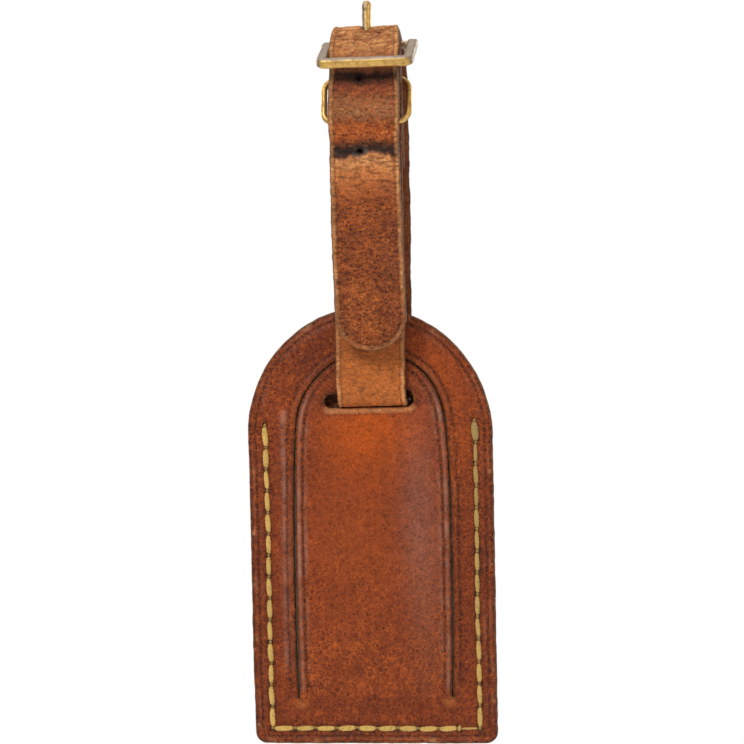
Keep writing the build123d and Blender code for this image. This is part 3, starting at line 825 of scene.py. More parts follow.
# ------------------------------------------------------------------ case panels
def triangulate(loops, join, extra_points):
    """Constrained triangulation inside the first loop and outside the others.

    join is an open line kept as edges. extra_points are (point, least gap to the lines).
    Returns the points, the triangles and each line's indices.
    """
    verts, edges, spans = [], [], []
    for k, line in enumerate(loops if join is None else loops + [join]):
        start, count = len(verts), len(line)
        verts += [tuple(p) for p in line]
        edges += [(start + i, start + (i + 1) % count)
                  for i in range(count if k < len(loops) else count - 1)]
        spans.append((start, count))
    tree = point_tree(verts)
    for (x, z), gap in extra_points:
        if tree.find((x, z, 0))[2] > gap:
            verts.append((float(x), float(z)))
    result = geometry.delaunay_2d_cdt([Vector(v) for v in verts], edges, [], 0, 1e-7, True)
    points = np.array([tuple(v) for v in result[0]])
    tris = np.array(result[2])
    new_index = {old: i for i, olds in enumerate(result[3]) for old in olds}
    centers = points[tris].mean(1)
    keep = inside(centers, loops[0])
    for loop in loops[1:]:
        keep &= ~inside(centers, loop)
    return points, tris[keep], [np.array([new_index[start + i] for i in range(count)])
                                for start, count in spans]


def hex_grid(step, seed=4):
    """Slightly shaken triangular grid over the whole case."""
    rows = []
    for j, z in enumerate(np.arange(0, 112, step * 0.866)):
        xs = np.arange(-32 + (step / 2 if j % 2 else 0), 32, step)
        rows.append(np.stack([xs, np.full_like(xs, z)], 1))
    p = np.vstack(rows)
    return p + np.random.default_rng(seed).uniform(-0.08, 0.08, p.shape) * step


def sheet_points(front):
    """Inner points of a sheet, packed closer round its features: (point, gap to the rims)."""
    points = []

    def put(new_points, gap):
        points.extend((p, gap) for p in new_points)

    put(offset_lines(arch_loop(1.95, 0.55), (-0.45, -0.22, 0, 0.22, 0.45)), 0.28)
    if front:
        put(offset_lines(arch_loop(1.0, 0.6), (-0.25, 0.1)), 0.25)
        offsets = (-2.6, -2.3, -2.05, -1.8, -1.5, -1.15, 1.15, 1.5, 1.8, 2.05, 2.3, 2.6)
        put(offset_lines(catmull(CUT_POINTS, 0.55), offsets, closed=False), 0.2)
    for x, z in HOLES:
        for r, count in ((0.0, 1), (0.3, 6), (0.6, 9), (0.95, 12)):
            put([(x + r * math.cos(a), z + r * math.sin(a))
                 for a in np.arange(count) * 2 * math.pi / count], 0.1)
    put(offset_lines(slot_loop(front, 1.0, 0.5), (0.0, 0.5, 1.0) if front else (0.0, 0.5)),
        0.25)
    if front:
        grid = hex_grid(0.75)
    else:
        grid = hex_grid(0.85, seed=9)
    tree = point_tree([p for p, _ in points])
    put([p for p in grid if tree.find((p[0], p[1], 0))[2] > 0.33], 0.3)
    return points


def build_sheet(front, outlines, join=None):
    """Two-sided leather sheet. outlines are (loop, rim direction, rim width), outer loop first;
    the direction is along the loop's left-hand normal, into the empty side."""
    sign = -1 if front else 1          # the way the good face looks along y
    face_y = FRONT_Y if front else BACK_Y
    loops = [loop for loop, _, _ in outlines]
    flat, tris, loop_ids = triangulate(loops, join, sheet_points(front))
    surface_y = face_y + sign * case_height(flat, front)
    coarse = [(p, 1.2) for p in hex_grid(4.0)]
    flat2, tris2, loop_ids2 = triangulate(loops, join, coarse)
    count, base = len(flat), len(flat) + len(flat2)
    verts = [np.stack([flat[:, 0], surface_y, flat[:, 1]], 1),
             np.stack([flat2[:, 0], np.full(len(flat2), face_y - sign * PANEL_T),
                       flat2[:, 1]], 1)]
    faces = [tuple(t)[::-sign] for t in tris] + [tuple(t + count)[::sign] for t in tris2]
    for k, (loop, direction, rim) in enumerate(outlines):
        normals = left_normals(loop) * direction
        loop_y = surface_y[loop_ids[k]]
        rows = [loop_ids[k]]
        # rim profile: outward, depth below the good face
        for out, depth in ((0.30 * rim, 0.06 * rim), (0.68 * rim, 0.27 * rim),
                           (0.92 * rim, 0.6 * rim), (rim, rim), (rim * 1.1, PANEL_T * 0.5),
                           (rim, PANEL_T - 0.35), (0.7 * rim, PANEL_T - 0.1)):
            if depth < PANEL_T * 0.45:
                y = loop_y - sign * depth
            else:
                y = face_y - sign * depth + (loop_y - face_y) * max(0.0, 1 - depth / PANEL_T)
            wobble = 0.04 * noise(loop[:, 0], loop[:, 1], size=1.2, seed=8 if front else 12,
                                  z=depth)
            q = loop + normals * (out + wobble)[:, None]
            verts.append(np.stack([q[:, 0], y, q[:, 1]], 1))
            rows.append(np.arange(base, base + len(loop)))
            base += len(loop)
        rows.append(loop_ids2[k] + count)
        turn = sign if k == 0 else -sign
        for a, b in zip(rows[:-1], rows[1:]):
            for i in range(len(loop)):
                j = (i + 1) % len(loop)
                faces.append((a[i], a[j], b[j], b[i])[::turn])
    verts = np.vstack(verts)
    walls = None if join is None else (loop_ids[-1], loop_ids2[-1] + count)
    return SimpleNamespace(verts=verts, faces=faces, normals=vertex_normals(verts, faces),
                           attrs=sheet_attrs(verts, front, count), walls=walls)


def sheet_piece(name, sheet, pick, turn=1):
    """Closed piece from the picked faces, walled off along the join; turn sets the wall's way."""
    faces = [sheet.faces[i] for i in np.nonzero(pick)[0]]
    first_wall = len(faces)
    if sheet.walls is not None:
        a, b = sheet.walls
        faces += [(a[i], a[i + 1], b[i + 1], b[i])[::turn] for i in range(len(a) - 1)]
    used = np.unique(np.concatenate([np.array(f) for f in faces]))
    new_index = {int(old): k for k, old in enumerate(used)}
    flat = range(first_wall, len(faces))
    faces = [tuple(new_index[int(i)] for i in f) for f in faces]
    attrs = {key: value[used] for key, value in sheet.attrs.items()}
    return make_object(name, sheet.verts[used], faces, CASE_LEATHER, attrs,
                       sheet.normals[used], flat, on_case=True)


def front_case():
    cut = cut_loop()
    # put a vertex of the cut's inner side on each leg exactly at the join
    inner = inside(cut, CUT_LINE)
    ends = []
    for side in (-1, 1):
        leg = np.nonzero(inner & (cut[:, 0] * side > 10) & (cut[:, 1] < 30))[0]
        i = min(leg, key=lambda k: abs(cut[k, 1] - JOIN_Z))
        cut[i, 1] = JOIN_Z
        ends.append(cut[i, 0])
    steps = 70
    join = np.array([(ends[0] + (ends[1] - ends[0]) * i / steps, JOIN_Z)
                     for i in range(steps + 1)])
    outlines = [(arch_loop(RIM), -1.0, RIM), (cut, -1.0, CUT_RIM),
                (slot_loop(True, RIM), 1.0, RIM)]
    sheet = build_sheet(True, outlines, join)
    centers = np.array([sheet.verts[list(f)].mean(0) for f in sheet.faces])
    on_tongue = inside(centers[:, [0, 2]], CUT_LINE) & (centers[:, 2] > JOIN_Z - 1e-6)
    return (sheet_piece("case_front_panel", sheet, ~on_tongue),
            sheet_piece("case_tongue_flap", sheet, on_tongue, turn=-1))


def back_case():
    sheet = build_sheet(False, [(arch_loop(RIM), -1.0, RIM), (slot_loop(False, RIM), 1.0, RIM)])
    return sheet_piece("case_back_panel", sheet, np.ones(len(sheet.faces), bool))


front_panel, tongue = front_case()
back_panel = back_case()


# ------------------------------------------------------------------ strap path, as (y, z)
def arc(y, z, r, first, last, steps):
    """Arc between two angles in degrees."""
    angles = [math.radians(first + (last - first) * i / steps) for i in range(steps + 1)]
    return [(y + r * math.cos(a), z + r * math.sin(a)) for a in angles]


def bezier(p0, p1, p2, p3, steps):
    return [tuple((1 - t) ** 3 * p0[k] + 3 * t * (1 - t) ** 2 * p1[k]
                  + 3 * t * t * (1 - t) * p2[k] + t ** 3 * p3[k] for k in (0, 1))
            for t in np.linspace(0, 1, steps + 1)]


# buckle end, up and round the pin
BUCKLE_END = ([(TAIL_Y, 148.0), (TAIL_Y, 172.9)]
              + bezier((TAIL_Y, 172.9), (TAIL_Y, 176.5), (PIVOT_Y + WRAP_R, 176.9),
                       (PIVOT_Y + WRAP_R, PIVOT_Z), 24)[1:]
              + arc(PIVOT_Y, PIVOT_Z, WRAP_R, 0, 180, 30)[1:])
# front run, down and into the slot
FRONT_RUN = ([(-RUN_Y, 170.0), (-RUN_Y - 0.05, 150.0), (-RUN_Y, 128.0),
              (-RUN_Y, BIGHT_Z + BIGHT_R)]
             + arc(-RUN_Y + BIGHT_R, BIGHT_Z + BIGHT_R, BIGHT_R, 180, 270, 12)[1:])
# out of the slot and up the back
REAR_RUN = (arc(RUN_Y - BIGHT_R, BIGHT_Z + BIGHT_R, BIGHT_R, 270, 360, 12)
            + [(RUN_Y, 112.0), (RUN_Y + 0.05, 130.0), (RUN_Y + 0.05, 150.0),
               (RUN_Y, 174.15), (RUN_Y, 176.0), (RUN_Y - 0.15, 177.6)])
TOP_FOLD = arc(PIVOT_Y, PIVOT_Z, FOLD_R, 20, 118, 24)
# free end, down the front
FREE_END = [
    (-5.05, 181.65), (-6.5, 179.9), (-7.7, 178.2), (-8.45, 176.4), (-8.75, 174.4),
    (-8.6, 172.2), (-8.2, 169.6), (-7.75, 166.8), (-7.5, 163.8), (-7.42, 160.5),
    (-7.45, 157.0), (-7.55, 153.6), (-7.7, 149.5), (-8.0, 143.0), (-8.4, 134.0),
    (-8.85, 124.0), (-9.25, 114.0), (-9.52, 106.0), (-9.62, 100.6)]


def arc_lengths(line):
    return np.r_[0, np.cumsum(norm(np.diff(line, axis=0), axis=1))]


def smooth_line(line, reach, rounds):
    """Moving average that keeps both ends in place."""
    kernel = np.ones(2 * reach + 1) / (2 * reach + 1)
    for _ in range(rounds):
        padded = np.vstack([2 * line[0] - line[reach:0:-1], line,
                            2 * line[-1] - line[-2:-reach - 2:-1]])
        smoothed = np.stack([np.convolve(padded[:, j], kernel, "valid") for j in (0, 1)], 1)
        smoothed[0], smoothed[-1] = line[0], line[-1]
        line = smoothed
    return line


def strap_path():
    """Evenly sampled, smoothed middle line of the strap."""
    raw = densify(BUCKLE_END + FRONT_RUN + REAR_RUN + TOP_FOLD + FREE_END, 0.05, closed=False)
    raw = raw[np.r_[True, norm(np.diff(raw, axis=0), axis=1) > 1e-6]]
    length = arc_lengths(raw)
    even = np.arange(0, length[-1], 0.05)
    path = np.stack([np.interp(even, length, raw[:, j]) for j in (0, 1)], 1)
    return smooth_line(path, reach=5, rounds=3)


PATH = strap_path()
PATH_S = arc_lengths(PATH)
PATH_TANGENT = unit_rows(np.gradient(PATH, PATH_S, axis=0))


def s_near(y, z):
    return PATH_S[np.argmin(np.hypot(PATH[:, 0] - y, PATH[:, 1] - z))]


def s_at(z, run):
    """Where the path passes height z within a run (first s, last s)."""
    k = np.nonzero((PATH_S >= run[0]) & (PATH_S <= run[1]))[0]
    return float(PATH_S[k[np.argmin(np.abs(PATH[k, 1] - z))]])


S_END = float(PATH_S[-1])
S_WRAP = s_near(PIVOT_Y, PIVOT_Z + WRAP_R)
S_BIGHT = s_near(0.0, BIGHT_Z)
S_FOLD = s_near(PIVOT_Y, PIVOT_Z + FOLD_R)
FRONT, REAR, FREE = (S_WRAP, S_BIGHT), (S_BIGHT, S_FOLD), (S_FOLD, S_END)
S_FRONT_128 = s_at(128.0, FRONT)
S_FRONT_SLOT = s_at(91.5, FRONT)
S_REAR_SLOT = s_at(91.5, REAR)
S_BAR = s_at(175.6, FREE)       # under the buckle's front bar
S_FOLD_HOLE = S_FOLD + 0.3
S_UPPER_HOLE = s_at(170.4, FREE)
S_LOWER_HOLE = s_at(151.9, FREE)

# sideways drift of the strap: s, x
DRIFT = np.array([
    (0, 1.7), (S_WRAP, 1.7), (s_at(150, FRONT), 1.4), (s_at(110, FRONT), 1.0),
    (S_FRONT_SLOT, 0.75), (S_BIGHT, 1.3), (S_REAR_SLOT, 1.9), (s_at(150, REAR), 2.9),
    (s_at(172, REAR), 2.8), (S_FOLD, 1.95), (S_BAR, 1.55), (s_at(160, FREE), 0.95),
    (s_at(130, FREE), 1.15), (S_END, 1.85)])


def strap_x(s):
    drift = np.interp(s, DRIFT[:, 0], DRIFT[:, 1])
    return drift + 0.12 * noise(np.asarray(s, float) / 14.0, 6.1, seed=90)


# prong holes: s, u, radius of the dark core painted round the hole, half width, half length
PRONG_HOLES = [
    (S_FOLD_HOLE, 2.1 - float(strap_x(S_FOLD_HOLE)), 1.3, 1.5, 2.65),
    (S_UPPER_HOLE, -1.1, 0.7, 0.62, 0.62),
    (S_LOWER_HOLE, -1.2, 0.7, 0.66, 0.66)]


# ------------------------------------------------------------------ strap relief and colour
def half_width(s):
    half = STRAP_HALF + 0.09 * noise(s / 5.0, 3.1, seed=91) + 0.07 * noise(s / 1.4, 8.1, seed=92)
    # narrowed or widened places: centre, amount, length
    for center, amount, length in (
            (S_FOLD - 0.5, -0.75, 4.5), (s_at(161.5, FREE), 0.22, 4.5),
            (s_at(172.5, FREE), -0.30, 3.5), (s_at(154, FREE), -0.12, 3.0),
            (s_at(98, FRONT), -0.12, 12.0)):
        half = half + amount * bell(s - center, length)
    half = half + 0.12 * rise(S_END - 60, S_END - 15, s)
    k = unit((s - (S_END - TIP_R)) / TIP_R)
    return half * np.sqrt(unit(1 - k * k))


def edge_distance(u, s):
    """Distance inwards from the strap's cut outline."""
    widest = STRAP_HALF + 0.15 * rise(S_END - 60, S_END - 15, s)
    side = half_width(np.minimum(s, S_END - TIP_R)) - np.abs(u)
    tip = TIP_R - np.hypot(u * TIP_R / (widest + 0.15), s - (S_END - TIP_R))
    d = np.where(s > S_END - TIP_R, np.minimum(tip, side), side)
    return np.clip(np.minimum(d, s), 0, None)


def strap_zones(s):
    """Masks for the top fold, free end, front run and rear run."""
    return (bell(s - S_FOLD - 4.5, 7.5), rise(S_BAR - 1, S_BAR + 1, s),
            rise(S_WRAP, S_WRAP + 4, s) * rise(S_BIGHT - 1, S_BIGHT - 3, s),
            rise(S_BIGHT, S_BIGHT + 3, s) * rise(S_FOLD - 2, S_FOLD - 8, s))


def cross_noise(u, s):
    return noise(u, s, size=(4.2, 1.05), seed=101, z=0.3)


def fold_noise(u, s):
    return noise(u / 7.0 + 0.15 * s, s / 1.9, seed=107, z=4.0)


def wrinkle_noise(u, s):
    return (noise(u, s, size=(1.9, 0.55), seed=141)
            + 0.7 * noise(u, s, size=(0.9, 0.42), seed=142, z=3.0))


def strap_relief(u, s, grain):
    """Height above the nominal face, on the grain side or the flesh side."""
    top, free, front, _ = strap_zones(s)
    fine = noise(u, s, size=(1.7, 0.55), seed=103, z=1.3)
    depth = (0.035 + 0.14 * top + 0.05 * free * rise(S_LOWER_HOLE + 30, S_LOWER_HOLE, s)
             + 0.03 * free + 0.02 * front)
    if not grain:
        depth = depth * 0.5
    h = (-depth * (ridge(cross_noise(u, s), 6) + 0.55 * ridge(fine, 6))
         + 0.05 * fbm(u, s, size=(3.0, 2.2), seed=105, octaves=3, z=2.2))
    if not grain:
        return h
    d = edge_distance(u, s)
    # heavy folds where the strap bends over the buckle, and fine wrinkles
    h = h - 0.34 * top * ridge(fold_noise(u, s), 5)
    h = h + 0.14 * top * noise(u, s, size=(2.2, 1.4), seed=109, z=5.0)
    h = h + 0.06 * wrinkle_noise(u, s) * (free + 0.5 * front + 1.2 * top)
    # crease lines pressed along both edges
    wander = 0.08 * noise(s / 7.0, 1.0, seed=111)
    h = h - 0.20 * bell(d - 1.32 - wander, 0.22) * (1 - 0.6 * top)
    h = h + 0.05 * bell(d - 0.9, 0.5)
    # dents across the strap at the free end's holes
    wobble = 0.5 * noise(u / 5.0, 2.0, seed=113)
    for hole, dent in ((S_UPPER_HOLE, 0.30), (S_LOWER_HOLE, 0.34)):
        h = h - dent * bell(s - hole + 0.2 + wobble, 1.5) * rise(0.2, 1.6, d)
        h = h + 0.10 * bell(s - hole + 3.0, 1.2) + 0.08 * bell(s - hole - 3.2, 1.2)
    # hollow pressed by the buckle's front bar, swelling over the keeper
    h = h - 0.38 * bell(s - s_at(172.4, FREE), 1.7)
    return h + 0.16 * bell(s - s_at(161.0, FREE), 4.5)


# colour down the free end and over the fold: height, sRGB
FREE_STOPS = [
    (96.0, (88, 32, 20)), (103.0, (76, 24, 13)), (110.0, (78, 24, 12)), (120.0, (78, 24, 12)),
    (130.0, (82, 27, 13)), (138.0, (100, 40, 20)), (139.5, (142, 70, 36)),
    (142.5, (188, 106, 56)), (146.0, (212, 132, 74)), (148.6, (230, 160, 100)),
    (150.1, (190, 120, 72)), (151.0, (60, 38, 30)), (151.6, (32, 23, 22)),
    (153.2, (34, 24, 22)), (154.0, (96, 44, 24)), (155.5, (134, 54, 20)),
    (158.0, (138, 56, 18)), (159.6, (106, 46, 24)), (160.6, (126, 76, 50)),
    (163.0, (142, 90, 60)), (165.6, (134, 82, 54)), (166.8, (114, 54, 38)),
    (168.9, (108, 48, 35)), (169.6, (76, 42, 28)), (170.4, (36, 24, 20)),
    (171.6, (40, 26, 20)), (172.3, (96, 52, 30)), (173.8, (118, 68, 38)),
    (176.0, (184, 122, 72)), (178.0, (208, 146, 90)), (184.0, (214, 152, 96))]
# the same for the front run behind it; its darkening upwards from the tip's end is painted shadow
# of the free end
FRONT_STOPS = [
    (86, (176, 94, 40)), (91, (192, 106, 46)), (98, (196, 108, 46)), (101.2, (176, 94, 42)),
    (106, (160, 84, 40)), (112, (112, 62, 36)), (125, (92, 50, 30)), (180, (84, 46, 28))]


def grain_colors_and_painted_light(u, s, z, d, broad, mid, fine):
    """Colour layers, wear and crackle of the strap's grain side, among them painted shade and
    highlights in its folds and wrinkles; z is the path's height.
    """
    top, free, front, _ = strap_zones(s)
    wobble = (0.75 * noise(u, s, size=(4.0, 9.0), seed=127)
              + 0.55 * noise(u, s, size=(1.2, 2.0), seed=129)
              + 0.3 * noise(u, s, size=(0.5, 0.6), seed=130))
    stain = (free * rise(0.05, 0.5, broad + 0.4 * rise(0, 8, u) - 0.1)
             * rise(146, 142, z) * rise(100, 112, z))
    golden = 0.8 * fbm(u / 4.0 + 9, s / 6.0, seed=131, octaves=3)
    gold = free * rise(150, 146, z) * unit(0.45 + golden - 0.05 * np.abs(u))
    cross = cross_noise(u, s)
    folds = (ridge(fold_noise(u, s), 9) + 0.9 * ridge(cross, 11)
             + 0.5 * ridge(noise(u, s, size=(1.2, 1.6), seed=108, z=7.3), 12))
    lines = unit(ridge(cross, 6))
    dark = unit((bell(z - 151.8, 2.2) + bell(z - 170.8, 2.0)) * free)
    # pale bands between the creased lines and the cut edges
    edge = rise(1.40, 1.05, d + 0.2 * fine) * (0.75 + 0.5 * mid)
    edge_color = over((226, 164, 104), (164, 104, 64), unit(0.4 + 1.2 * fine) * 0.6)
    low_end = rise(S_END - 22, S_END - 9, s)
    pale = (unit(edge) * (0.08 + 0.92 * free * (1 - 0.60 * low_end)
                          + 0.62 * front * rise(112, 106, z) + 0.3 * top) * (1 - 0.45 * dark))
    wrinkle = wrinkle_noise(u, s)
    wrinkled = unit(free + 0.5 * front + top)
    crest_highlight = over((176, 84, 34), (222, 160, 98), unit(top + bell(z - 148.5, 4.5) * free))
    layers = [
        ((112, 62, 36), unit(0.4 + broad) * 0.6),
        (ramp_color(z + 2.0 * broad, FRONT_STOPS), front),
        (ramp_color(z + wobble, FREE_STOPS), rise(S_FOLD - 9.0, S_FOLD - 4.0, s)),
        # purple-dark stains, gold patches
        ((92, 42, 38), stain * 0.55),
        ((146, 68, 28), gold * 0.34),
        # painted shade in the top fold's creases, dark and red, and pale cross lines elsewhere
        ((92, 36, 20), unit(1.25 * folds) * top * 0.95),
        ((180, 104, 50), lines * free * 0.22 * rise(150, 146, z)),
        ((150, 84, 42), lines * front * 0.6),
        # edge bands and their creased line
        (edge_color, unit(pale) * 0.9),
        ((62, 30, 18), bell(d - 1.32, 0.19) * 0.75),
        # fine wrinkles: painted shade in the folds, and gold on the crests, partly painted
        # highlight and partly rubbing
        ((54, 22, 13), unit(-1.6 * wrinkle - 0.25) * 0.62 * wrinkled),
        (crest_highlight, unit(1.5 * wrinkle - 0.55) * 0.42 * wrinkled * (1 - 0.85 * dark))]
    wear = unit(0.03 + 0.75 * top + 0.10 * front + 0.75 * bell(z - 162.0, 2.6) * free
                + 0.25 * bell(z - 147.0, 2.6) * free)
    wear = unit(wear + 0.15 * edge) * (1 - 0.9 * dark)
    crack = (0.8 + 0.5 * gold + 0.5 * bell(z - 157.0, 2.5) * free
             - 0.6 * (bell(z - 151.5, 2.0) + bell(z - 170.8, 1.8)) * free)
    return layers, wear, crack * (1 - 0.85 * dark) * (1 - 0.5 * unit(edge))


def strap_color(u, s, grain, z):
    d = edge_distance(u, s)
    broad = fbm(u, s, size=(5.0, 7.0), seed=121, octaves=4)
    mid = fbm(u, s, size=(1.8, 2.4), seed=123, octaves=4)
    fine = fbm(u, s, size=(3.5, 1.2), seed=125, octaves=3)
    if grain:
        base = (84, 45, 28)
        layers, wear, crack = grain_colors_and_painted_light(u, s, z, d, broad, mid, fine)
    else:
        base = (152, 82, 44)
        layers = [((114, 54, 28), unit(0.5 + broad) * 0.7), ((168, 112, 70), unit(mid) * 0.5)]
        wear, crack = np.full(len(u), 0.25), np.full(len(u), 0.15)
    # burnished cut edge, darkened on the rear run and on the front run above z 112 by painted
    # shade where they lie behind other layers
    _, _, front, rear = strap_zones(s)
    rim_color = over((104, 70, 46), (150, 120, 90), unit(0.4 + 1.4 * fine) * 0.8)
    rim_color = over(rim_color, (74, 34, 18), unit(rear + front * rise(106, 112, z)) * 0.9)
    layers += [(rim_color, rise(0.5, 0.12, d) * 0.8), ((46, 26, 20), bell(d, 0.16) * 0.6)]
    # dark round the prong holes, at the fold's hole a painted shadow where the prong goes in, and
    # a grey ring round the lowest
    for hole_s, hole_u, r, _, _ in PRONG_HOLES:
        q = np.hypot(u - hole_u, (s - hole_s) * 1.15)
        layers.append(((20, 15, 15), rise(r + 1.5, r + 0.1, q) * 0.9))
    hole_s, hole_u = PRONG_HOLES[-1][:2]
    q = np.hypot(u - hole_u, (s - hole_s) * 1.3)
    layers.append(((74, 78, 84), bell(q - 1.7, 0.35) * unit(0.45 + fine)))
    return lay(base, layers), unit(wear), np.clip(crack, 0, 1.3)


# ------------------------------------------------------------------ strap mesh
def strap_rows():
    """Stations along s, closer together at both ends."""
    rows = np.arange(0.0, S_END - TIP_R, 0.27)
    tip = S_END - TIP_R + TIP_R * np.sin(np.linspace(0, math.pi / 2, 64)) * 0.9996
    return np.r_[0.0, 0.06, 0.14, 0.25, 0.38, rows[rows > 0.45], tip]


def strap_columns():
    """Stations across, from -1 to 1, closer together at the edges."""
    core = np.linspace(-8.1, 8.1, 67)
    edge = np.array([8.3, 8.45, 8.57, 8.68, 8.77, 8.85, 8.91, 8.96, 9.0])
    return np.r_[-edge[::-1], core, edge] / 9.0


ROWS, COLUMNS = strap_rows(), strap_columns()
NR, NC = len(ROWS), len(COLUMNS)
RING = 2 * NC + 4       # vertices round one row: both faces and two on each cut edge


def open_holes(u, s):
    """Draw a block of cells at each prong hole into its round rim; returns the blocks too."""
    blocks = []
    k = 3               # cells from a block's middle to its side
    reach = 3.6         # how far the cells are shifted
    for hole_s, hole_u, _, half_wide, half_long in PRONG_HOLES:
        row = int(np.argmin(np.abs(ROWS - hole_s)))
        col = int(np.argmin(np.abs(u[row] - hole_u)))
        mid_u, mid_s = u[row, col], ROWS[row]
        half_s = (ROWS[row + k] - ROWS[row - k]) / 2
        half_u = (u[row, col + k] - u[row, col - k]) / 2
        q = np.hypot(u - mid_u, s - mid_s)
        angle = np.arctan2(s - mid_s, u - mid_u)
        block = np.minimum(half_u / np.maximum(np.abs(np.cos(angle)), 1e-6),
                           half_s / np.maximum(np.abs(np.sin(angle)), 1e-6))

        def opened(r):
            moved = r + (reach - r) * (q - block) / (reach - block)
            return np.where(q < reach, np.maximum(moved, r * 0.999), q)

        near = (q < reach) & (q > 1e-6)
        u = np.where(near, mid_u + np.cos(angle) * opened(half_wide), u)
        s = np.where(near, mid_s + np.sin(angle) * opened(half_long), s)
        blocks.append((row - k, row + k, col - k, col + k))
    return u, s, blocks


def round_rows(top, bottom, edges):
    """Join both faces and the four edge lines (two right, two left) into rings, row by row."""
    right1, right2, left1, left2 = (e[:, None] for e in edges)
    rings = np.concatenate([top, right1, right2, bottom[:, ::-1], left1, left2], 1)
    return rings.reshape(NR * RING, -1)


def strap_verts(u, s, half):
    """Vertices of the whole strap, in rings."""
    y_path, z_path = (np.interp(s, PATH_S, PATH[:, j]) for j in (0, 1))
    tangent = unit_rows(np.stack([np.interp(s, PATH_S, PATH_TANGENT[:, j])
                                  for j in (0, 1)], -1))
    ny, nz = tangent[..., 1], -tangent[..., 0]
    x_path = strap_x(s)
    d = edge_distance(u, s)
    inward = np.clip(d, 0, EDGE_R)
    body = STRAP_T / 2 - EDGE_R + np.sqrt(np.clip(EDGE_R ** 2 - (EDGE_R - inward) ** 2, 0, None))
    fade = rise(0.0, 0.7, d)
    grain_h, flesh_h = (strap_relief(u, s, grain) * fade for grain in (True, False))
    flesh_h = flesh_h * (1 - bell(s - S_BIGHT, 3.4))    # squeezed flat in the tight bend

    def place(height):
        return np.stack([x_path + u, y_path + ny * height, z_path + nz * height], -1)

    narrow = unit(half[:, 0] / STRAP_HALF)
    wobble = 0.05 * noise(ROWS / 1.1, 5.0, seed=133) * narrow
    edges = []
    for col, level, out in ((-1, 0.5, 0.05 * narrow + wobble),
                            (-1, -0.5, 0.05 * narrow - wobble),
                            (0, -0.5, -0.05 * narrow + wobble),
                            (0, 0.5, -0.05 * narrow - wobble)):
        line = place(body * level)[:, col]
        line[:, 0] += out
        edges.append(line)
    return round_rows(place(body + grain_h), place(-(body + np.minimum(flesh_h, 0.02))), edges)


def strap_attrs(u, s):
    z = np.interp(s, PATH_S, PATH[:, 1]).ravel()
    sides = [strap_color(u.ravel(), s.ravel(), grain, z) for grain in (True, False)]
    attrs = {}
    for key, top, bottom in zip(("patina", "wear", "crack"), *sides):
        top, bottom = top.reshape(NR, NC, -1), bottom.reshape(NR, NC, -1)
        packed = round_rows(top, bottom, (top[:, -1], bottom[:, -1], bottom[:, 0], top[:, 0]))
        attrs[key] = packed if key == "patina" else packed[:, 0]
    top = np.stack([u, s, np.zeros_like(u)], -1)
    edges = (top[:, -1] + [0.1, 0, -0.5], top[:, -1] + [0.1, 0, -1.3],
             top[:, 0] + [-0.1, 0, -1.3], top[:, 0] + [-0.1, 0, -0.5])
    attrs["pc"] = round_rows(top, top - [0, 0, STRAP_T], edges)
    return attrs


def strap_faces(blocks):
    """Faces row by row, and the walls of each hole with its first and last row."""
    dropped = set()
    walls = []
    for row0, row1, col0, col1 in blocks:
        for r in range(row0, row1):
            for c in range(col0, col1):
                dropped |= {(r, c), (r, 2 * NC - c)}
        rim = ([(row0, c) for c in range(col0, col1)] + [(r, col1) for r in range(row0, row1)]
               + [(row1, c) for c in range(col1, col0, -1)]
               + [(r, col0) for r in range(row1, row0, -1)])
        top = [r * RING + c for r, c in rim]
        bottom = [r * RING + (2 * NC + 1 - c) for r, c in rim]
        faces = []
        for i in range(len(rim)):
            j = (i + 1) % len(rim)
            faces.append((top[i], top[j], bottom[j], bottom[i]))
        walls.append((row0, row1, faces))
    face_rows = []
    for r in range(NR - 1):
        a, b = r * RING, (r + 1) * RING
        row = []
        for c in range(RING):
            if (r, c) not in dropped:
                e = (c + 1) % RING
                row.append((b + c, b + e, a + e, a + c))
        face_rows.append(row)
    return face_rows, walls


def build_strap():
    half = half_width(ROWS)[:, None]
    u, s, blocks = open_holes(COLUMNS[None, :] * half, np.repeat(ROWS[:, None], NC, 1))
    verts = strap_verts(u, s, half)
    face_rows, walls = strap_faces(blocks)
    every_face = [f for row in face_rows for f in row] + [f for w in walls for f in w[2]]
    return SimpleNamespace(verts=verts, face_rows=face_rows, walls=walls,
                           normals=vertex_normals(verts, every_face), attrs=strap_attrs(u, s))


def strap_piece(strap, name, first_s, last_s):
    """Closed length of the strap between two stations."""
    row0, row1 = (int(np.argmin(np.abs(ROWS - s))) for s in (first_s, last_s))
    faces = [f for r in range(row0, row1) for f in strap.face_rows[r]]
    for top, bottom, wall in strap.walls:
        if top >= row0 and bottom <= row1:
            faces += wall
    base = row0 * RING
    flat = [len(faces), len(faces) + 1]
    faces += [tuple(base + c for c in range(RING)),
              tuple(row1 * RING + c for c in range(RING))[::-1]]
    faces = [tuple(i - base for i in f) for f in faces]
    part = slice(base, (row1 + 1) * RING)
    attrs = {key: value[part] for key, value in strap.attrs.items()}
    return make_object(name, strap.verts[part], faces, STRAP_LEATHER, attrs,
                       strap.normals[part], flat)


whole_strap = build_strap()
buckle_end, front_run, bight, rear_run, free_end = strap_pieces = [
    strap_piece(whole_strap, name, first_s, last_s) for name, first_s, last_s in (
        ("strap_buckle_end", 0.0, S_FRONT_128),
        ("strap_front_run", S_FRONT_128, S_FRONT_SLOT),
        ("strap_bight", S_FRONT_SLOT, S_REAR_SLOT),
        ("strap_rear_run_and_fold", S_REAR_SLOT, S_BAR),
        ("strap_free_end", S_BAR, S_END))]


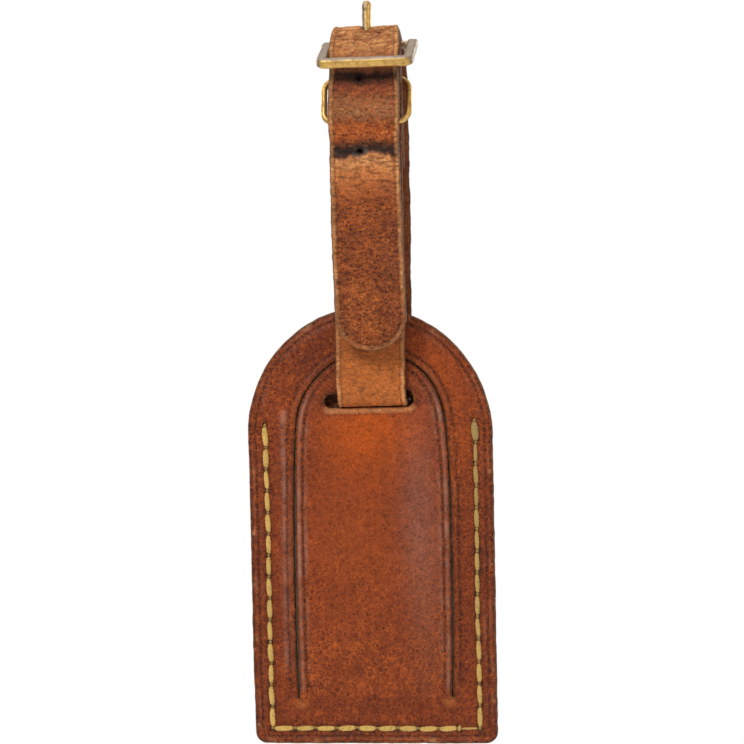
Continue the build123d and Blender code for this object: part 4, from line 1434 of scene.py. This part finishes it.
# ------------------------------------------------------------------ thread
def tube(path, radius, sides, base):
    """Closed round tube along a path; its faces count vertices from base."""
    t = tangents(path, closed=False)
    a = unit_rows(np.cross(t, np.array([0.31, 0.87, 0.38])))
    b = np.cross(t, a)
    count = len(path)
    angle = (np.arange(sides) * 2 * math.pi / sides)[None, :, None]
    radius = np.broadcast_to(radius, count)[:, None, None]
    verts = path[:, None] + radius * (np.cos(angle) * a[:, None] + np.sin(angle) * b[:, None])
    faces = []
    for i in range(count - 1):
        low, high = base + i * sides, base + (i + 1) * sides
        for k in range(sides):
            j = (k + 1) % sides
            faces.append((low + k, high + k, high + j, low + j))
    faces.append(tuple(base + k for k in range(sides)))
    faces.append(tuple(base + (count - 1) * sides + k for k in range(sides - 1, -1, -1)))
    return verts.reshape(-1, 3), faces


def stitches(name, spans, on_case=False):
    """Stitches of three twisted plies. spans are (start, end, outward y, thickness, height,
    turns, dirt), from hole to hole."""
    sides, samples = 7, 26
    verts, faces, tones, places, base = [], [], [], [], 0
    t = np.linspace(0, 1, samples)
    ends = np.abs(2 * t - 1)
    swell = np.sqrt(unit(1 - ends ** 2.3))
    for start, end, out_y, thickness, height, turns, dirt in spans:
        start, end, out = np.array(start), np.array(end), np.array((0.0, out_y, 0.0))
        length = norm(end - start)
        lift = height * swell - 0.75 * ends ** 12
        middle = (start + (end - start) * (0.5 + (t - 0.5) * 0.85)[:, None]
                  + out * lift[:, None])
        side = np.cross((end - start) / length, out)
        fat = thickness * (0.28 + 0.72 * swell)
        # first angle of the twist, scattered from stitch to stitch
        phase = math.sin(start[0] * 12.9898 + start[2] * 78.233) * 43758.5453 % 1.0 * 6.283
        for ply in range(3):
            twist = 2 * math.pi * (t * turns + ply / 3.0) + phase
            path = (middle + side * (np.cos(twist) * fat * 0.53)[:, None]
                    + out * (np.sin(twist) * fat * 0.43)[:, None])
            v, f = tube(path, fat * 0.50, sides, base)
            verts.append(v)
            faces += f
            base += len(v)
            tones.append(np.full(len(v), dirt))
            along = np.repeat(t * length, sides)
            places.append(np.stack([along + 3 * start[0] + start[2] * 7,
                                    np.full(len(v), ply * 2.0), v[:, 0] + v[:, 2]], 1))
    attrs = {"wear": np.concatenate(tones), "pc": np.vstack(places)}
    return make_object(name, np.vstack(verts), faces, THREAD, attrs, on_case=on_case)


def seam_spans(front):
    sign, face_y = (-1.0, FRONT_Y) if front else (1.0, BACK_Y)
    rng = np.random.default_rng(31 if front else 37)
    heights = case_height((HOLES[:-1] + HOLES[1:]) / 2, front)
    right_foot = SIDE_STITCHES + FOOT_STITCHES      # hole at the foot of the right side
    last = len(HOLES) - 2                           # stitch at the top of the right side
    spans = []
    for i, (a, b) in enumerate(zip(HOLES[:-1], HOLES[1:])):
        y = face_y + sign * heights[i]
        d = (b - a) / norm(b - a)
        slant = np.array([-d[1], d[0]]) * 0.10 * sign
        thickness = 0.70 + rng.uniform(-0.06, 0.06)
        dirt = float(unit(rng.uniform(-0.1, 0.22)))
        if front:
            if i > right_foot:          # right side: duller and thinner towards the top
                k = (i - right_foot - 1) / 12.0
                dirt = 0.15 + 0.38 * k
                thickness = thickness - 0.14 * k
            if i == last:
                thickness, dirt = 0.95, 0.62
            if i == right_foot - 1:     # worn through
                thickness, dirt = 0.30, 0.3
            if i in (0, 1):
                thickness = 0.80
        a2, b2 = a + slant, b - slant
        spans.append(((a2[0], y, a2[1]), (b2[0], y, b2[1]), sign, thickness, thickness * 0.40,
                      1.75 + rng.uniform(-0.2, 0.2), dirt))
        if front and i == right_foot - 1:   # short loose end beside the worn stitch
            spans.append(((a[0] + 0.35, y, a[1] + 0.8), (a[0] + 0.1, y, a[1] - 0.7), sign,
                          0.5, 0.5, 1.0, 0.35))
    return spans


def hole_threads():
    """Thread inside each hole, joining the front and back stitches."""
    verts, faces, base = [], [], 0
    t = np.linspace(0, 1, 12)
    for x, z in HOLES:
        path = np.stack([x + 0.05 * np.cos(t * 9),
                         FRONT_Y + 0.35 + (BACK_Y - FRONT_Y - 0.7) * t,
                         z + 0.05 * np.sin(t * 9)], 1)
        v, f = tube(path, 0.42, 8, base)
        verts.append(v)
        faces += f
        base += len(v)
    verts = np.vstack(verts)
    return make_object("thread_in_holes", verts, faces, THREAD,
                       {"wear": np.full(len(verts), 0.6), "pc": verts}, on_case=True)


def fold_spans():
    """Four stitches across the strap's folded buckle end, on both sides."""
    pitch = 3.15
    xs = [1.6 - 2 * pitch + pitch * i for i in range(5)]
    spans = []
    for a, b in zip(xs, xs[1:]):
        for y, sign in ((-RUN_Y - STRAP_T / 2, -1), (TAIL_Y + STRAP_T / 2, 1)):
            spans.append(((a, y, FOLD_SEAM_Z), (b, y, FOLD_SEAM_Z), sign, 0.42, 0.22, 1.8, 0.2))
    return spans


front_seam = stitches("thread_front_stitches", seam_spans(True), on_case=True)
back_seam = stitches("thread_back_stitches", seam_spans(False), on_case=True)
plugs = hole_threads()
fold_seam = stitches("thread_fold_stitches", fold_spans())


# piece, node at the start, node at the end, start and end of the blend as (y, z); here each piece
# only has its transform baked, and no node or blend is set up
for piece, first, second, start, end in (
        (buckle_end, "strap_loop", "case", (0, 150), (0, 128)),
        (front_run, "case", "flap", (0, 126), (0, 102)),
        (bight, "case", "flap", (0.5, 90), (-1.2, 90)),
        (rear_run, "strap_loop", "case", (0, 150), (0, 128)),
        (free_end, "strap_loop", "strap_tip", (0, 160), (0, 143)),
        (tongue, "case", "flap", (0, 13), (0, 22))):
    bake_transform(piece)
for piece in (front_panel, back_panel, front_seam, back_seam, plugs):
    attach(piece, "case")
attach(fold_seam, "strap_loop")
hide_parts("front_panel")
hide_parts("tongue_flap")
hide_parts("back_panel")
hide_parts("saddle_stitching")
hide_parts("fold_stitching")
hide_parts("strap_front_upper")
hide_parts("strap_front_lower", "strap_front_mid")
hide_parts("strap_slot_bight")
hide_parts("strap_rear_lower", "strap_rear_upper")
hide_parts("strap_top_fold", "strap_tip_run")


# ------------------------------------------------------------------ metal
def sweep(path, across, section, closed, seed, ding):
    """Sweep a section along a path, with small dings.

    across is the section's first axis and section its points, each one for all or per station.
    """
    count = len(path)
    section = np.broadcast_to(section, (count,) + np.shape(section)[-2:])
    across = np.broadcast_to(across, (count, 3))
    other = np.cross(tangents(path, closed), across)
    offset = section[..., :1] * across[:, None] + section[..., 1:] * other[:, None]
    points = path[:, None] + offset
    x, y, z = np.moveaxis(points, -1, 0)
    dings = ding * fbm(x / 1.6 + seed, y / 1.6, seed=seed, octaves=3, z=z / 1.6)
    verts = (points + unit_rows(offset) * dings[..., None]).reshape(-1, 3)
    m = section.shape[1]
    faces = []
    for i in range(count if closed else count - 1):
        a, b = i * m, (i + 1) % count * m
        for k in range(m):
            j = (k + 1) % m
            faces.append((a + k, a + j, b + j, b + k))
    if not closed:
        faces.append(tuple(range(m - 1, -1, -1)))
        faces.append(tuple((count - 1) * m + k for k in range(m)))
    return verts, facing_out(verts, faces)


def facing_out(verts, faces):
    """The faces, turned over if they enclose a negative volume."""
    volume = 0.0
    for f in faces:
        for j in range(1, len(f) - 1):
            volume += float(np.dot(verts[f[0]], np.cross(verts[f[j]], verts[f[j + 1]])))
    return [f[::-1] for f in faces] if volume < 0 else faces


def metal(name, verts, faces, wear):
    return make_object(name, verts, faces, BRASS, {"wear": wear, "pc": verts.copy()})


def rounded_rect(width, height, corner, steps=6):
    x, y = width / 2 - corner, height / 2 - corner
    points = []
    for cx, cy, first in ((x, y, 0), (-x, y, 90), (-x, -y, 180), (x, -y, 270)):
        for k in range(steps + 1):
            a = math.radians(first + 90 * k / steps)
            points.append((cx + corner * math.cos(a), cy + corner * math.sin(a)))
    return np.array(points)


def tilted_axes(degrees):
    """Axes of a plane tipped about x: its own y direction and its normal."""
    a = math.radians(degrees)
    return np.array([0, math.cos(a), math.sin(a)]), np.array([0, -math.sin(a), math.cos(a)])


PIVOT = np.array([PIVOT_X, PIVOT_Y, PIVOT_Z])
X_AXIS = np.array([1.0, 0, 0])
_turn = np.linspace(0, 2 * math.pi, 25)[:-1]
CIRCLE = np.stack([np.cos(_turn), np.sin(_turn)], 1)


def buckle_frame():
    """Three-sided frame, tipped down to the front, open at the pin."""
    half, reach, corner = 11.1, 12.4, 1.5
    along, normal = tilted_axes(26.4)
    turn = np.linspace(0, math.pi / 2, 9)[1:]
    arm = np.linspace(0.8, -reach + corner, 16)
    points = [(-half, 1.25)] + [(-half, y) for y in arm]
    points += [(-half + corner - corner * math.cos(a), -reach + corner - corner * math.sin(a))
               for a in turn]
    points += [(x, -reach) for x in np.linspace(-half + corner, half - corner, 36)[1:]]
    points += [(half - corner + corner * math.sin(a), -reach + corner - corner * math.cos(a))
               for a in turn]
    points += [(half, y) for y in arm[::-1][1:]] + [(half, 1.25)]
    x, y = np.array(points).T
    # bent out of true: both arms lean to the right, and the frame is slightly bowed
    lean = np.clip((y + reach) / reach, 0, 1.1) * np.where(x < 0, 1.0, 0.75)
    bow = 0.10 * noise(x, y, size=6.0, seed=201)
    path = (PIVOT + np.outer(x + lean - 0.15, X_AXIS) + np.outer(y, along)
            + np.outer(bow, normal))
    scale = np.ones(len(path))
    scale[[0, -1]] = 0.72
    section = rounded_rect(width=2.7, height=2.4, corner=0.72) * scale[:, None, None]
    across = unit_rows(np.cross(tangents(path, closed=False), normal))
    verts, faces = sweep(path, across, section, closed=False, seed=203, ding=0.03)
    # gold stays on the forward face of the front bar; the grey on its bevels and arms is a
    # painted reflection of the pale surroundings
    out, up = (verts - PIVOT) @ along, (verts - PIVOT) @ normal
    bar_face = (rise(-reach - 0.3, -reach - 1.0, out)
                * rise(12.4, 11.4, np.abs(verts[:, 0] - 1.85)) * rise(1.16, 0.9, np.abs(up)))
    wear = 0.78 - 0.78 * bar_face + 0.22 * rise(0.6, 1.1, np.abs(up)) - 0.25 * (up < -0.7)
    return metal("brass_buckle_frame", verts, faces, unit(wear))


def pivot_pin():
    """Pin across the buckle, domed at both ends."""
    xs = np.concatenate([[-12.0, -11.95, -11.8, -11.55], np.linspace(-11.2, 11.2, 40),
                         [11.55, 11.8, 11.95, 12.0]])
    dome = unit((np.abs(xs) - 11.2) / 0.82)
    radius = 1.06 * np.sqrt(np.clip(1 - dome ** 2, 0.02, 1))
    verts, faces = sweep(PIVOT + np.outer(xs, X_AXIS), (0, 1.0, 0),
                         CIRCLE * radius[:, None, None], closed=False, seed=207, ding=0.015)
    return metal("brass_pivot_bar", verts, faces, np.full(len(verts), 0.6))


def prong():
    """Upright prong: flattened shaft with a blunt head, and an eye round the pin."""
    z = np.concatenate([
        np.linspace(PIVOT_Z + 1.35, PIVOT_Z + 2.2, 4), np.linspace(PIVOT_Z + 2.6, 188.6, 18),
        np.linspace(188.9, 190.2, 7), [190.6, 190.9, 191.1, 191.22, 191.28]])
    head = rise(188.5, 189.4, z)
    dome = np.sqrt(np.maximum(0.02, 1 - np.maximum(0.0, (z - 190.1) / 1.2) ** 2))
    radii = np.stack([(1.16 + 0.10 * head) * dome, (1.0 + 0.16 * head) * dome], 1)
    path = np.stack([PIVOT_X + 0.06 * np.sin(z / 2.0), np.full(len(z), PIVOT_Y), z], 1)
    shaft, shaft_faces = sweep(path, X_AXIS, CIRCLE * radii[:, None], closed=False,
                               seed=211, ding=0.03)
    angle = np.linspace(0, 2 * math.pi, 49)[:-1]
    ring = np.stack([np.full(48, PIVOT_X), PIVOT_Y + 1.68 * np.cos(angle),
                     PIVOT_Z + 1.68 * np.sin(angle)], 1)
    section = rounded_rect(width=2.2, height=0.94, corner=0.32, steps=4)
    eye, eye_faces = sweep(ring, X_AXIS, section, closed=True, seed=213, ding=0.02)
    verts = np.vstack([shaft, eye])
    faces = shaft_faces + [tuple(i + len(shaft) for i in f) for f in eye_faces]
    # the grey down the prong's left side is a painted reflection; its head turns a little greyer
    # too
    wear = 0.15 + 0.55 * rise(2.3, 1.2, verts[:, 0]) + 0.25 * rise(188.6, 189.4, verts[:, 2])
    return metal("brass_prong", verts, faces, unit(wear))


def keeper():
    """Wire bent into a rounded rectangle round the strap."""
    along, normal = tilted_axes(64.3)
    loop = densify(rounded_rect(width=21.9, height=12.8, corner=3.0, steps=10), 0.35)
    path = (np.array([1.5, -2.62, 165.3]) + np.outer(loop[:, 0], X_AXIS)
            + np.outer(loop[:, 1], along))
    verts, faces = sweep(path, normal, CIRCLE * 0.78, closed=True, seed=217, ding=0.035)
    patches = fbm(verts[:, 0], verts[:, 2], size=3, seed=219, octaves=3)
    return metal("brass_keeper", verts, faces, unit(0.22 + 0.35 * patches))


# piece, node it rides on, piece it replaces
METAL = [(buckle_frame(), "buckle_frame", "buckle_frame"),
         (pivot_pin(), "buckle_frame", "buckle_pivot_bar"),
         (prong(), "prong", "buckle_prong"),
         (keeper(), "keeper", "keeper_ring")]
for piece, node, _ in METAL:
    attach(piece, node)
for piece, _, replaced in METAL:
    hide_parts(replaced)
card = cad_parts["address_card"]
card.data.materials.clear()
card.data.materials.append(CARD)


# ------------------------------------------------------------------ stage, in metres
def build_floor():
    """Round floor well below the hanging tag."""
    z, radius, count = (FOOT_Z - 170.0) / 1000.0, 0.98, 72
    angles = [2 * math.pi * k / count for k in range(count)]
    verts = [(0.0, 0.0, z)] + [(radius * math.cos(a), radius * math.sin(a), z) for a in angles]
    me = bpy.data.meshes.new("floor")
    me.from_pydata(verts, [], [(0, 1 + k, 1 + (k + 1) % count) for k in range(count)])
    me.materials.append(pale_floor())
    ob = bpy.data.objects.new("floor", me)
    bpy.context.scene.collection.objects.link(ob)


def area_light(name, location, size, power):
    light = bpy.data.lights.new(name, "AREA")
    light.shape = "RECTANGLE"
    light.size, light.size_y = size
    light.energy = power
    ob = bpy.data.objects.new(name, light)
    ob.location = location
    aim = Vector((0.0, 0.0, -0.03)) - Vector(location)
    ob.rotation_euler = aim.to_track_quat("-Z", "Y").to_euler()
    bpy.context.scene.collection.objects.link(ob)


def build_world():
    """White background that lights the scene more weakly than the camera sees it."""
    world = bpy.data.worlds.new("studio")
    bpy.context.scene.world = world
    world.use_nodes = True
    nodes, links = world.node_tree.nodes, world.node_tree.links
    nodes.clear()
    output = nodes.new("ShaderNodeOutputWorld")
    mix = nodes.new("ShaderNodeMixShader")
    rays = nodes.new("ShaderNodeLightPath")
    links.new(rays.outputs["Is Camera Ray"], mix.inputs[0])
    for socket, strength in ((1, 0.30), (2, 1.0)):
        background = nodes.new("ShaderNodeBackground")
        background.inputs[0].default_value = (1, 1, 1, 1)
        background.inputs[1].default_value = strength
        links.new(background.outputs[0], mix.inputs[socket])
    links.new(mix.outputs[0], output.inputs[0])
    bpy.context.scene.view_settings.view_transform = "Standard"


def build_camera():
    distance, yaw, roll = 0.600, math.radians(4.0), math.radians(-1.53)
    view_width = 0.191952       # width seen at the target
    data = bpy.data.cameras.new("camera")
    cam = bpy.data.objects.new("camera", data)
    bpy.context.scene.collection.objects.link(cam)
    target = Vector((1.05 / 1000, FRONT_Y / 1000, (95.3 + FOOT_Z) / 1000))
    cam.location = target + Vector((distance * math.sin(yaw), -distance * math.cos(yaw), 0.0))
    look = (target - cam.location).to_track_quat("-Z", "Y")
    cam.rotation_mode = "QUATERNION"
    cam.rotation_quaternion = look @ Matrix.Rotation(roll, 4, "Z").to_quaternion()
    data.sensor_width = 36.0
    data.lens = 36.0 * distance / view_width
    data.clip_start = 0.01
    bpy.context.scene.camera = cam


build_floor()
area_light("key", (-0.40, -0.75, 0.60), size=(0.30, 0.30), power=6.6)
area_light("fill", (0.70, -0.55, 0.15), size=(0.4, 0.6), power=1.7)
area_light("top", (0.0, 0.1, 0.8), size=(0.6, 0.5), power=2.4)
area_light("back_left", (-0.6, 0.7, 0.3), size=(0.5, 0.6), power=4.2)
area_light("back_right", (0.6, 0.7, 0.3), size=(0.5, 0.6), power=3.4)
build_world()
build_camera()
